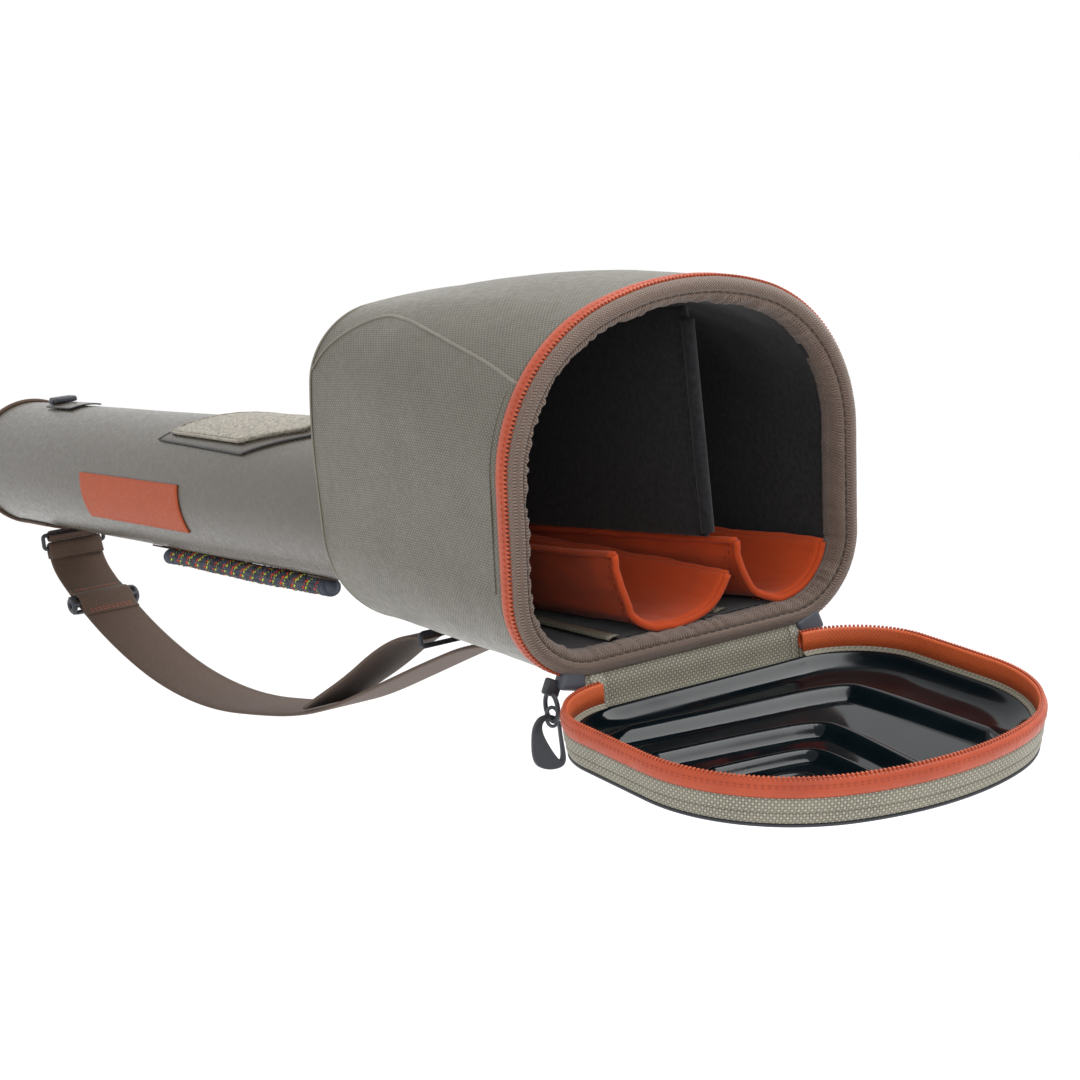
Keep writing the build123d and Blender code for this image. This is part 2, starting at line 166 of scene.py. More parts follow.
def woven(name, pitch, light, dark, rough=0.55, strength=0.6, axes=None, sheen=0.0, turn=0.0, contrast=0.5,
          coat=0.0, gloss=0.5):
    """Plain weave of round yarns: each cell shows the warp or the weft on top."""
    s = Shader(name, rough, Sheen_Weight=sheen, Coat_Weight=coat, Coat_Roughness=0.22,
               Specular_IOR_Level=gloss)
    u, v = s.place(*axes) if axes else s.uv()
    if turn:
        cosine, sine = math.cos(turn), math.sin(turn)
        turned = s.math("ADD", s.math("MULTIPLY", u, cosine), s.math("MULTIPLY", v, sine))
        v = s.math("SUBTRACT", s.math("MULTIPLY", v, cosine), s.math("MULTIPLY", u, sine))
        u = turned
    wave_u = s.math("SINE", s.math("MULTIPLY", u, math.pi / (pitch * MM)))
    wave_v = s.math("SINE", s.math("MULTIPLY", v, math.pi / (pitch * MM)))
    hill_u, hill_v = s.math("ABSOLUTE", wave_u), s.math("ABSOLUTE", wave_v)
    warp_up = s.math("GREATER_THAN", s.math("MULTIPLY", wave_u, wave_v), 0.0)
    warp = s.math("MULTIPLY", s.math("POWER", hill_u, 0.6), s.math("ADD", s.math("MULTIPLY", hill_v, 0.45), 0.55))
    weft = s.math("MULTIPLY", s.math("POWER", hill_v, 0.6), s.math("ADD", s.math("MULTIPLY", hill_u, 0.45), 0.40))
    height = s.between(warp_up, 0.0, 1.0, weft, warp)
    shade = s.math("MULTIPLY", height, s.between(warp_up, 0.0, 1.0, contrast, 1.0))
    cloth = s.mix(shade, dark, light)
    patchy = s.between(s.noise(45.0, 4.0), 0.3, 0.7, 0.0, 1.0)
    dusty = s.mix(s.math("MULTIPLY", patchy, 0.16), cloth, light)
    s.colour(dusty)
    s.roughness(s.between(s.noise(300.0), 0.3, 0.7, rough - 0.06, rough + 0.08))
    s.bump(s.noise(160.0, 2.0), 0.02, 0.1)
    s.bump(height, strength, pitch * 0.22)
    return s.mat


def herringbone(name, light, dark, width=2.8, pitch=0.65):
    s = Shader(name, 0.8, Sheen_Weight=0.25)
    u, v = s.uv()
    zigzag = s.math("PINGPONG", s.math("DIVIDE", v, width * MM / 2), 1.0)
    phase = s.math("ADD", s.math("DIVIDE", u, pitch * MM), s.math("MULTIPLY", zigzag, 3.0))
    rib = s.math("ADD", s.math("MULTIPLY", s.math("SINE", s.math("MULTIPLY", phase, math.pi)), 0.5), 0.5)
    fuzz = s.noise(700.0, 3.0)
    s.colour(s.mix(s.math("MULTIPLY", rib, s.between(fuzz, 0.2, 0.8, 0.7, 1.1)), dark, light))
    s.bump(fuzz, 0.3, 0.15)
    s.bump(rib, 0.7, 0.3)
    return s.mat


def webbing_cloth(name, light, dark, across=1.2, along=1.5):
    """Ribbed webbing: ribs across the width, each crossed by fine yarns."""
    s = Shader(name, 0.75, Sheen_Weight=0.05)
    u, v = s.uv()
    cord = s.math("ABSOLUTE", s.math("SINE", s.math("MULTIPLY", v, math.pi / (along * MM))))
    cell = s.math("FLOOR", s.math("DIVIDE", v, along * MM))
    stagger = s.math("ADD", s.math("DIVIDE", u, across * MM), s.math("MULTIPLY", cell, 0.5))
    knot = s.math("ABSOLUTE", s.math("SINE", s.math("MULTIPLY", stagger, math.pi)))
    height = s.math("MULTIPLY", s.math("POWER", cord, 0.5), s.math("ADD", s.math("MULTIPLY", knot, 0.5), 0.5))
    fuzz = s.noise(500.0, 3.0)
    tone = s.math("MULTIPLY", height, s.between(fuzz, 0.2, 0.8, 0.75, 1.1))
    s.colour(s.mix(tone, dark, light))
    s.bump(fuzz, 0.25, 0.1)
    s.bump(height, 0.6, 0.3)
    return s.mat


def coated(name, main, second, rough=0.45, grain=260.0, strength=0.15, **sockets):
    """Smooth coated tape or moulded rubber with a fine grain and rubbed patches."""
    s = Shader(name, rough, **sockets)
    patchy = s.between(s.noise(60.0, 5.0), 0.35, 0.7, 0.0, 1.0)
    s.colour(s.mix(s.math("MULTIPLY", patchy, 0.6), main, second))
    s.roughness(s.between(s.noise(grain), 0.3, 0.7, rough - 0.08, rough + 0.1))
    s.bump(s.noise(grain, 4.0), strength, 0.25)
    return s.mat


def brushed_cloth(name, main, second, rough=0.9, scale=420.0, strength=0.5, sheen=0.3):
    """Felt and brushed lining: short fibres with no weave to see."""
    s = Shader(name, rough, Sheen_Weight=sheen)
    fibre = s.noise(scale, 6.0)
    s.colour(s.mix(s.between(fibre, 0.3, 0.7, 0.0, 1.0), main, second))
    s.bump(s.noise(scale * 0.25, 3.0), 0.25, 0.5)
    s.bump(fibre, strength, 0.4)
    return s.mat


GREY_LIGHT, GREY_DARK = rgb(112, 106, 90), rgb(38, 35, 29)
OUTER = woven("outer_cloth", 1.15, GREY_LIGHT, GREY_DARK, 0.36, 0.6, contrast=0.45, coat=0.1)
OUTER_FINE = woven("tube_cloth", 0.9, rgb(82, 76, 66), rgb(62, 57, 50), 0.3, 0.15, contrast=0.8,
                   coat=0.1)
OUTER_BAND = woven("band_cloth", 1.2, rgb(172, 167, 149), rgb(58, 55, 46), 0.5, 0.8, contrast=0.6)
OUTER_YZ = woven("outer_cloth_end", 1.15, GREY_LIGHT, GREY_DARK, 0.4, 0.55, axes=(1, 2), contrast=0.45,
                  coat=0.1)
OUTER_XY = woven("outer_cloth_door", 1.15, GREY_LIGHT, GREY_DARK, 0.4, 0.55, axes=(0, 1), contrast=0.45,
                 coat=0.1)
RUST_TAPE = coated("rust_tape", rgb(168, 66, 30), rgb(150, 55, 24), 0.45, 340.0, 0.25)
RUST_WOVEN = woven("rust_inner_tape", 0.8, rgb(220, 104, 52), rgb(160, 64, 30), 0.6, 0.5)
RUST_CLOTH = woven("rust_cloth", 0.6, rgb(196, 80, 42), rgb(160, 60, 32), 0.9, 0.35, sheen=0.1, contrast=0.75,
                   gloss=0.12)
RUST_TEETH = coated("zip_teeth", rgb(172, 76, 42), rgb(132, 50, 26), 0.4, 500.0, 0.05)
RUST_LABEL = coated("label_face", rgb(158, 66, 22), rgb(148, 60, 20), 0.6, 500.0, 0.15)
# Dark brown under the zip coil: painted shade for the groove between the tape and the binding, not the tape's own
# colour.
COIL_SHADE_BED = coated("coil_bed_painted_shade", rgb(70, 30, 20), rgb(50, 24, 18), 0.7, 500.0, 0.3)
BROWN_TAPE = herringbone("binding_tape", rgb(136, 115, 101), rgb(66, 52, 45))
BROWN_WEBBING = webbing_cloth("strap_webbing", rgb(90, 68, 54), rgb(46, 34, 28))
BLACK_CLOTH = brushed_cloth("black_lining", rgb(14, 14, 16), rgb(36, 36, 40), 0.95, 420.0, 0.5, 0.15)
BLACK_PLASTIC = coated("black_shell", rgb(24, 24, 26), rgb(34, 34, 36), 0.5, 400.0, 0.2)
TRAY_BLACK = coated("tray_black", rgb(14, 20, 23), rgb(20, 26, 29), 0.1, 40.0, 0.04, Specular_IOR_Level=0.12)
SLATE = coated("slate_plastic", rgb(70, 74, 82), rgb(58, 62, 70), 0.5, 620.0, 0.25)
SLATE_DARK = coated("slate_dark", rgb(46, 48, 54), rgb(36, 38, 44), 0.45, 620.0, 0.2)
FELT = brushed_cloth("loop_felt", rgb(86, 80, 68), rgb(150, 142, 126), 0.95, 520.0, 1.0)
THREAD_RUST = coated("thread_rust", rgb(170, 66, 34), rgb(190, 84, 48), 0.6)
THREAD_DARK_RUST = coated("thread_dark_rust", rgb(138, 50, 26), rgb(146, 54, 28), 0.6)
THREAD_BROWN = coated("thread_brown", rgb(64, 50, 43), rgb(84, 68, 60), 0.6)
# The seam ridges' plain light grey, lighter than the cloth round them, is a painted highlight along the top and
# rear-edge seams.
SEAM_HIGHLIGHT_GREY = coated("seam_painted_highlight", rgb(112, 107, 94), rgb(98, 93, 81), 0.35)
CLEAR_TAPE = woven("seam_tape", 1.2, rgb(182, 178, 162), rgb(82, 79, 68), 0.12, 0.3)


# ---- meshes ----------------------------------------------------------------------------------------------
def finish_piece(obj, material, body, replaces=()):
    obj.data.materials.append(material)
    if body:
        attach(obj, body)
    if replaces:
        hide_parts(*replaces)
    return obj


def link(name, data):
    """A new object in the scene."""
    obj = bpy.data.objects.new(name, data)
    bpy.context.scene.collection.objects.link(obj)
    return obj


def shade_smooth(mesh):
    mesh.polygons.foreach_set("use_smooth", [True] * len(mesh.polygons))


def add_thickness(obj, thick):
    solid = obj.modifiers.new("thickness", "SOLIDIFY")
    solid.thickness, solid.offset = thick * MM, -1.0


def mesh_object(name, verts, faces, uvs=None, smooth=True):
    """verts are in millimetres; uvs hold one (u, v) in metres for each corner of each face."""
    mesh = bpy.data.meshes.new(name)
    mesh.from_pydata([tuple(c * MM for c in v) for v in verts], [], faces)
    if uvs:
        layer = mesh.uv_layers.new(name="cloth")
        for loop, uv in zip(layer.data, (uv for face in uvs for uv in face)):
            loop.uv = uv
    if smooth:
        shade_smooth(mesh)
    return link(name, mesh)


def grid(name, rows, loop=False, inside=None, thick=0.0, away=True, capped=False):
    """A sheet through rows of points. Its face looks away from inside, or towards it; thick adds a back.

    A capped loop has its last row filled with one face."""
    count = len(rows[0])
    spans = count if loop else count - 1
    along = [0.0]
    middle = count // 2
    for a, b in zip(rows, rows[1:]):
        along.append(along[-1] + (Vector(b[middle]) - Vector(a[middle])).length)
    across = []
    for row in rows:
        reach = [0.0]
        for j in range(spans):
            reach.append(reach[-1] + (Vector(row[(j + 1) % count]) - Vector(row[j])).length)
        across.append([d - reach[-1] / 2 for d in reach])
    faces, uvs = [], []
    for i in range(len(rows) - 1):
        for j in range(spans):
            k = (j + 1) % count
            faces.append((i * count + j, i * count + k, (i + 1) * count + k, (i + 1) * count + j))
            corners = ((i, j), (i, j + 1), (i + 1, j + 1), (i + 1, j))
            uvs.append([(across[r][c] * MM, along[r] * MM) for r, c in corners])
    if capped:
        first = (len(rows) - 1) * count
        faces.append(tuple(range(first, first + count)))
        uvs.append([(across[-1][c] * MM, along[-1] * MM) for c in range(count)])
    obj = mesh_object(name, [p for row in rows for p in row], faces, uvs)
    if inside is not None:
        centre = Vector(inside) * MM
        lean = sum((Vector(f.center) - centre).dot(f.normal) * f.area for f in obj.data.polygons)
        if (lean > 0) != away:
            obj.data.flip_normals()
    if thick:
        add_thickness(obj, thick)
    return obj


def frames_along(points, closed=False, up=None):
    """Tangent, side and top at each point, turned as little as possible from one to the next."""
    pts = [Vector(p) for p in points]
    last = len(pts) - 1
    result = []
    top = Vector(up) if up else None
    for i in range(len(pts)):
        before = pts[i - 1] if (i or closed) else pts[i]
        after = pts[(i + 1) % len(pts)] if (i < last or closed) else pts[i]
        tangent = (after - before).normalized()
        if top is None:
            top = tangent.orthogonal()
        flat = top - tangent * top.dot(tangent)
        top = flat.normalized()
        result.append((pts[i], tangent, tangent.cross(top), top))
    return result


def close_ends(obj, fill=True, weld=False):
    """Fills the open ends of a bar and turns all its faces outwards."""
    bm = bmesh.new()
    bm.from_mesh(obj.data)
    if weld:
        bmesh.ops.remove_doubles(bm, verts=bm.verts, dist=WELD_GAP)
    if fill:
        bmesh.ops.holes_fill(bm, edges=[e for e in bm.edges if e.is_boundary], sides=0)
    bmesh.ops.recalc_face_normals(bm, faces=bm.faces)
    bm.to_mesh(obj.data)
    bm.free()
    return obj


def sweep(name, points, section, closed=False, up=None, twist=None, capped=True):
    """A solid bar: section is a ring of (side, top) offsets carried along the points."""
    rows = []
    for i, (p, _, side, top) in enumerate(frames_along(points, closed, up)):
        scale = twist(i / max(len(points) - 1, 1)) if twist else 1.0
        rows.append([p + side * (a * scale) + top * (b * scale) for a, b in section])
    if closed:
        rows.append(rows[0])
    return close_ends(grid(name, rows, loop=True), capped and not closed, weld=True)


def around(count):
    """Angles at even steps once round."""
    return [2 * math.pi * k / count for k in range(count)]


def ring(radius, sides=10, flat=1.0):
    return [(radius * math.cos(2 * math.pi * k / sides), radius * flat * math.sin(2 * math.pi * k / sides))
            for k in range(sides)]


def unit_bead(kind):
    """A small rounded block or a small ball, one unit across, to be copied many times."""
    bm = bmesh.new()
    if kind == "block":
        bmesh.ops.create_cube(bm, size=1.0)
        bmesh.ops.bevel(bm, geom=list(bm.edges), offset=0.24, segments=2, profile=0.6, affect="EDGES")
    else:
        bmesh.ops.create_uvsphere(bm, u_segments=8, v_segments=6, radius=0.5)
    verts = [v.co.copy() for v in bm.verts]
    faces = [[v.index for v in f.verts] for f in bm.faces]
    bm.free()
    return verts, faces


BEADS = {kind: unit_bead(kind) for kind in ("block", "ball")}


def beads(name, places, size, kind="block"):
    """Copies of one bead: places hold origin, x, y and z directions; size is along those directions."""
    base, base_faces = BEADS[kind]
    verts, faces = [], []
    for origin, x, y, z in places:
        start = len(verts)
        verts += [origin + x * (v.x * size[0]) + y * (v.y * size[1]) + z * (v.z * size[2]) for v in base]
        faces += [[start + i for i in face] for face in base_faces]
    return mesh_object(name, verts, faces)


def walk(points, step, closed=False, start=0.0):
    """Points at even steps along a line of points, with the direction there."""
    pts = [Vector(p) for p in points] + ([Vector(points[0])] if closed else [])
    left = start
    for a, b in zip(pts, pts[1:]):
        run = (b - a).length
        while left <= run and run > 1e-9:
            yield a.lerp(b, left / run), (b - a).normalized()
            left += step
        left -= run


def stitches(name, points, normal, material, body, length=2.4, gap=1.3, width=0.6, closed=False):
    """A row of sewn stitches; normal(point) is the way the cloth faces."""
    places = []
    for p, t in walk(points, length + gap, closed, gap):
        n = Vector(normal(p)).normalized()
        places.append((p, t, n.cross(t).normalized(), n))
    return finish_piece(beads(name, places, (length, width, width * 0.9), "ball"), material, body)


def block(name, size, centre, turn=(0, 0, 0), bevel=1.0, taper=1.0):
    """A moulded block with rounded edges; taper narrows its top."""
    bm = bmesh.new()
    bmesh.ops.create_cube(bm, size=1.0)
    for v in bm.verts:
        k = taper if v.co.z > 0 else 1.0
        v.co = Vector((v.co.x * size[0] * k, v.co.y * size[1] * k, v.co.z * size[2]))
    bmesh.ops.bevel(bm, geom=list(bm.edges), offset=bevel, segments=3, profile=0.6, affect="EDGES")
    mesh = bpy.data.meshes.new(name)
    place = Matrix.Translation(Vector(centre))
    for axis, angle in zip("XYZ", turn):
        place = place @ Matrix.Rotation(math.radians(angle), 4, axis)
    bm.transform(Matrix.Scale(MM, 4) @ place)
    bm.to_mesh(mesh)
    bm.free()
    shade_smooth(mesh)
    return link(name, mesh)


# ---- the case's outlines ---------------------------------------------------------------------------------
def arch_point(shape, spot, inset=0.0):
    """A point of the arched outline; spot is (stretch 0 to 9, share of it), round from the bottom by +Y."""
    stretch, share = spot
    side = 1
    if stretch >= 5:
        stretch, share, side = 9 - stretch, 1 - share, -1
    half, low, top, arch = shape["width"] / 2, shape["low_r"], shape["top_r"], shape["arch_r"]
    crown_centre = shape["height"] - arch
    top_z = crown_centre + math.sqrt((arch - top) ** 2 - (half - top) ** 2)
    lean = math.atan2(top_z - crown_centre, half - top)
    if stretch == 0:
        y, z = share * (half - low), inset
    elif stretch == 1:
        a = (share - 1) * math.pi / 2
        y, z = half - low + (low - inset) * math.cos(a), low + (low - inset) * math.sin(a)
    elif stretch == 2:
        y, z = half - inset, low + share * (top_z - low)
    elif stretch == 3:
        a = share * lean
        y, z = half - top + (top - inset) * math.cos(a), top_z + (top - inset) * math.sin(a)
    else:
        a = lean + share * (math.pi / 2 - lean)
        y, z = (arch - inset) * math.cos(a), crown_centre + (arch - inset) * math.sin(a)
    return side * y, z


def outline_spots(shape, step):
    """Spots about a step apart all the way round."""
    spots = []
    for stretch in range(10):
        ends = [Vector(arch_point(shape, (stretch, k / 12))) for k in range(13)]
        length = sum((b - a).length for a, b in zip(ends, ends[1:]))
        count = max(2, round(length / step))
        spots += [(stretch, k / count) for k in range(count)]
    return spots


def box_at(spot, back, inset=0.0):
    """A point on the reel box: back is how far behind the opening, inset how deep under the skin."""
    yr, zr = arch_point(REAR, spot, inset)
    yf, zf = arch_point(FRONT, spot, inset)
    lean = REAR_LEAN * max(0.0, (zr - 80) / 76) ** 2
    rear = Vector((X_REAR + lean, yr, zr))
    front = Vector((X_OPEN + zf * math.sin(RAKE), yf, zf * math.cos(RAKE)))
    share = back / BOX_LENGTH
    p = front.lerp(rear, share)
    p.z += CROWN_SWELL * math.sin(math.pi * min(max(share, 0.0), 1.0)) * max(0.0, p.z / 150) ** 4
    return p


def door_at(spot, inset, depth):
    """A point on the open door: depth is measured from the rim down into the door."""
    y, h = arch_point(DOOR, spot, inset)
    return door_place(y, h + DOOR_START, depth)


def door_place(y, h, depth):
    out = Vector((math.cos(DROOP), 0, -math.sin(DROOP)))
    down = Vector((-math.sin(DROOP), 0, -math.cos(DROOP)))
    return HINGE + Vector((0, y, 0)) + out * h + down * depth


SPOTS = outline_spots(FRONT, 2.6)
LIP_SPOTS = outline_spots(FRONT, 1.3)
ZIP_SPOTS = [s for s in outline_spots(FRONT, 1.2) if 1 <= s[0] <= 8 and s != (1, 0)]
BOX_MIDDLE = (0, 0, 75)


def band(name, at, spots, profile, loop, thick, inside, away=True):
    """A strip round an outline; profile is the strip's cross section as (inset, depth) pairs."""
    rows = [[at(spot, *pair) for spot in spots] for pair in profile]
    return grid(name, rows, loop=loop, inside=inside, thick=thick, away=away)


def punch(obj, radius, beyond):
    """Opens a round hole for the tube through whatever lies further back than beyond."""
    bm = bmesh.new()
    bm.from_mesh(obj.data)
    axis = Vector((0, TUBE_Z * MM))
    inner = set()
    for v in bm.verts:
        away = Vector((v.co.y, v.co.z)) - axis
        if v.co.x < beyond * MM and away.length < radius * MM:
            inner.add(v)
    gone = [f for f in bm.faces if all(v in inner for v in f.verts)]
    bmesh.ops.delete(bm, geom=gone, context="FACES")
    for v in inner:
        if v.is_valid and v.link_faces:
            away = (Vector((v.co.y, v.co.z)) - axis).normalized() * radius * MM
            v.co.y, v.co.z = away.x, TUBE_Z * MM + away.y
    bm.to_mesh(obj.data)
    bm.free()


def box_skin(inset, first_back, edge, step, soft=0.0):
    """The box's wall at a depth: sides, rounded rear edge and rear wall, as one sheet."""
    reach = BOX_LENGTH - inset if inset > 5 else BOX_LENGTH
    rows = []
    backs = [first_back]
    while backs[-1] + step < reach - edge:
        backs.append(backs[-1] + step)
    for back in backs:
        rows.append([box_at(spot, back, inset) for spot in SPOTS])
    for k in range(7):
        a = math.pi / 2 * k / 6
        rows.append([box_at(spot, reach - edge * (1 - math.sin(a)), inset + edge * (1 - math.cos(a)))
                     for spot in SPOTS])
    middle = Vector((rows[-1][0].x, 0, 70))
    rim = rows[-1]
    for k in range(1, 30):
        share = 1 - k / 30
        rows.append([middle.lerp(p, share) for p in rim])
    if soft:
        for row in rows:
            for p in row:
                wave = noise.noise(p * 0.022) + 0.5 * noise.noise(p * 0.06)
                toward = (Vector(BOX_MIDDLE) - p)
                toward.x = 0
                p += toward.normalized() * soft * wave
    return rows


# ---- reel box --------------------------------------------------------------------------------------------
def build_box():
    rows = box_skin(0.0, ZIP_BACK - 0.4, REAR_EDGE, 3.0, soft=0.35)
    cover = grid("box_cover", rows, loop=True, inside=BOX_MIDDLE, thick=1.3)
    punch(cover, TUBE_R + 0.3, -80)
    finish_piece(cover, OUTER, "case",
                 ["box_side_panel_near", "box_side_panel_far", "box_top_panel", "box_rear_panel", "box_base_panel",
                  "reel_box_shell"])

    # The top and rear-edge seam ridges below carry the painted-highlight grey.
    ridge = ring(0.75, 8, 0.55)
    for side, label in ((-1, "near"), (1, "far")):
        line = [on_side(side, back, height) for back, height in smooth_pairs(TOP_SEAM, 8)]
        lay = sweep(f"top_seam_{label}", line, ridge, up=(0, side, 0.6))
        finish_piece(lay, SEAM_HIGHLIGHT_GREY, "case")
    hoop = [box_at(s, BOX_LENGTH - REAR_EDGE + 1.5, 0.0) for s in SPOTS]
    finish_piece(sweep("rear_edge_seam", hoop, ridge, closed=True, up=(0, 0, -1)), SEAM_HIGHLIGHT_GREY, "case")
    for side, label in ((-1, "near"), (1, "far")):
        line = [on_side(side, 16.5, 40 + 3.6 * k) for k in range(24)]
        lay = sweep(f"rim_seam_{label}", line, ring(0.6, 6, 0.5), up=(0, side, 0))
        finish_piece(lay, OUTER, "case")

    padding = box_skin(LINING_IN, 8.0, 5.0, 3.5, soft=1.3)
    lining = grid("lining_sleeve", padding, loop=True, inside=BOX_MIDDLE, thick=3.2, away=False)
    punch(lining, TUBE_R - 2.2, -78)
    finish_piece(lining, BLACK_CLOTH, "case", ["box_lining"])


TOP_SEAM = [(11.5, 124.5), (40, 132.0), (73, 139.0), (106, 145.5), (129, 149.0), (148, 150.0), (166, 146.0),
            (180, 138.0), (188, 128.0)]


def smooth_pairs(points, steps):
    """A smooth run of (a, b) pairs through the given ones."""
    ends = [points[0]] + list(points) + [points[-1]]
    result = []
    for p0, p1, p2, p3 in zip(ends, ends[1:], ends[2:], ends[3:]):
        for k in range(steps):
            t = k / steps
            result.append(tuple(0.5 * (2 * b + (c - a) * t + (2 * a - 5 * b + 4 * c - d) * t * t
                                       + (3 * b - a - 3 * c + d) * t ** 3)
                                for a, b, c, d in zip(p0, p1, p2, p3)))
    return result + [points[-1]]


def on_side(side, back, height):
    """The point of the box's side, or of its shoulder, at a given height."""
    before = None
    for k in range(301):
        stretch, share = 2 + k // 100, (k % 100) / 100
        spot = (min(stretch, 4), share if stretch < 5 else 1.0)
        if side < 0:
            spot = (9 - spot[0], 1 - spot[1])
        p = box_at(spot, back, -0.1)
        if before and before.z <= height <= p.z:
            return before.lerp(p, (height - before.z) / max(p.z - before.z, 1e-6))
        before = p
    return before


def build_opening():
    tape = band("zip_tape_box", box_at, ZIP_SPOTS,
                [(11.6, 0.3), (10.8, -0.6), (9.0, -0.9), (7.0, -0.8), (5.0, -0.5), (4.3, 0.2)],
                False, 0.7, BOX_MIDDLE)
    finish_piece(tape, RUST_TAPE, "case", ["box_zip_tape"])
    for k, back in enumerate((6.3, 7.5)):
        line = [box_at(s, back, -0.75) for s in ZIP_SPOTS]
        stitches(f"zip_tape_stitches_{k}", line, lambda p: p - Vector((p.x, 0, 70)), THREAD_DARK_RUST, "case",
                 1.5, 1.1, 0.4)
    # A band in the painted-shade brown under the coil stands for the shaded groove.
    bed = band("zip_coil_bed_box", box_at, ZIP_SPOTS, [(5.2, 0.2), (3.4, 0.3), (1.0, 0.9)], False, 0.9, BOX_MIDDLE)
    finish_piece(bed, COIL_SHADE_BED, "case")
    finish_piece(zip_teeth("zip_teeth_box", box_at, ZIP_SPOTS, (3.2, -0.2), (1.9, 1.05, 1.4)), RUST_TEETH, "case",
                 ["box_zip_coil"])
    rolled = [(0.5, 5.2), (0.2, 2.4), (0.7, 0.5), (2.2, -0.7), (4.0, -1.1), (5.4, -0.8), (6.2, 0.2), (6.6, 1.3),
              (7.2, 0.8), (8.4, 1.1), (9.4, 2.4), (10.2, 4.2), (10.7, 6.4), (10.9, 8.4), (10.8, 10.6)]
    groove = 7
    rows = []
    for k, (inset, back) in enumerate(rolled):
        row = []
        for n, spot in enumerate(LIP_SPOTS):
            turn = 2 * math.pi * n / len(LIP_SPOTS)
            slow = noise.noise(Vector((9 * math.cos(turn), 9 * math.sin(turn), 1.7)))
            quick = noise.noise(Vector((34 * math.cos(turn), 34 * math.sin(turn), 4.1)))
            pucker = 0.35 * math.sin(n * 1.3 + 5 * slow)
            loose = min(1.0, max(0.0, (k - groove) / 3)) * (1.0 if k < 13 else 0.5)
            flutter = (0.8 * slow + 0.9 * quick + pucker) * loose
            row.append(box_at(spot, back - 0.6 * flutter, inset + 0.9 * flutter + 0.12 * quick))
        rows.append(row)
    binding = grid("opening_binding_tape", rows, loop=True, inside=BOX_MIDDLE, thick=0.6)
    finish_piece(binding, BROWN_TAPE, "case", ["opening_binding", "box_base_hem"])
    seam_line = [box_at(s, 0.7, 6.6) for s in LIP_SPOTS]
    stitches("binding_stitches", seam_line, lambda p: (1, 0, -0.1), THREAD_BROWN, "case", 3.0, 0.9,
             0.9, closed=True)


def zip_teeth(name, at, spots, centre, size):
    """Coil loops side by side along an outline."""
    first, second = centre
    in_first = at is door_at
    line = [at(s, second, first) if in_first else at(s, first, second) for s in spots]
    deeper = [at(s, second + 1, first) if in_first else at(s, first, second + 1) for s in spots]
    outer = [(a - b).normalized() for a, b in zip(line, deeper)]
    places = []
    reach = 0.0
    target = 0.0
    for i in range(len(line) - 1):
        run = (line[i + 1] - line[i]).length
        tangent = (line[i + 1] - line[i]).normalized()
        while target <= reach + run:
            p = line[i].lerp(line[i + 1], (target - reach) / run)
            out = outer[i]
            places.append((p, out.cross(tangent).normalized(), tangent, out))
            target += TOOTH_PITCH
        reach += run
    return beads(name, places, size)


# ---- door ------------------------------------------------------------------------------------------------
DOOR_SPOTS = [s for s in outline_spots(DOOR, 1.4) if 1 <= s[0] <= 8]
DOOR_MIDDLE = tuple(door_place(0, DOOR_MID_H, 9))


def build_door():
    rust = band("door_zip_band", door_at, DOOR_SPOTS,
                [(1.6, 0.7), (0.4, 0.9), (-0.4, 2.0), (-0.7, 3.8), (-0.6, 5.8), (0.0, 7.6), (0.7, 8.1)], False, 0.8,
                DOOR_MIDDLE)
    finish_piece(rust, RUST_TAPE, "door", ["door_zip_tape"])
    for k, depth in enumerate((2.9, 3.9)):
        line = [door_at(s, -0.65, depth) for s in DOOR_SPOTS]
        stitches(f"door_tape_stitches_{k}", line, lambda p: p - door_place(0, DOOR_MID_H, 3), THREAD_DARK_RUST,
                 "door", 1.5, 1.1, 0.4)
    teeth = zip_teeth("zip_teeth_door", door_at, DOOR_SPOTS, (0.4, 1.1), (1.3, 1.0, 1.5))
    finish_piece(teeth, RUST_TEETH, "door", ["door_zip_coil"])
    grey = band("door_grey_band", door_at, DOOR_SPOTS,
                [(0.9, 7.7), (0.2, 8.2), (0.2, 9.4), (0.5, 12.6), (0.9, 13.5), (1.4, 13.9), (1.0, 14.4), (1.2, 16.6),
                 (2.0, 18.2), (3.0, 18.9)], False, 1.2, DOOR_MIDDLE)
    finish_piece(grey, OUTER_BAND, "door", ["door_band"])
    edge = [door_at(s, 2.4, 19.2) for s in outline_spots(DOOR, 2.6)]
    finish_piece(sweep("door_edge_piping", edge, ring(0.7, 8), closed=True), SLATE_DARK, "door")
    build_door_panel()
    inner = band("door_inner_tape", door_at, DOOR_SPOTS, [(2.0, 0.4), (2.6, 1.6), (2.9, 4.6), (3.1, 9.0)], False, 0.6,
                 DOOR_MIDDLE, away=False)
    finish_piece(inner, RUST_WOVEN, "door", ["door_wall"])
    strip = band("door_inner_strip", door_at, DOOR_SPOTS, [(3.0, 8.6), (3.3, 9.4), (4.0, 10.0), (5.0, 10.3)], False,
                 0.6, DOOR_MIDDLE, away=False)
    finish_piece(strip, OUTER_BAND, "door")
    build_tray()
    build_hinge_panel()


def build_door_panel():
    spots = outline_spots(DOOR, 2.6)
    rows = []
    for k in range(26):
        share = 1 - k / 26
        depth = 18.7 + 3.6 * (1 - share ** 5)
        centre = door_place(0, DOOR_MID_H, depth)
        rows.append([centre.lerp(door_at(s, 2.6, depth), share) for s in spots])
    panel = grid("door_outer_panel", rows, loop=True, inside=DOOR_MIDDLE, thick=1.2, capped=True)
    finish_piece(panel, OUTER_XY, "door", ["door_panel"])


def rounded(line, times=3):
    """A polyline with its corners cut away, again and again."""
    for _ in range(times):
        cut = [line[0]]
        for (ya, ha), (yb, hb) in zip(line, line[1:]):
            cut.append((ya + 0.25 * (yb - ya), ha + 0.25 * (hb - ha)))
            cut.append((ya + 0.75 * (yb - ya), ha + 0.75 * (hb - ha)))
        line = cut + [line[-1]]
    return line


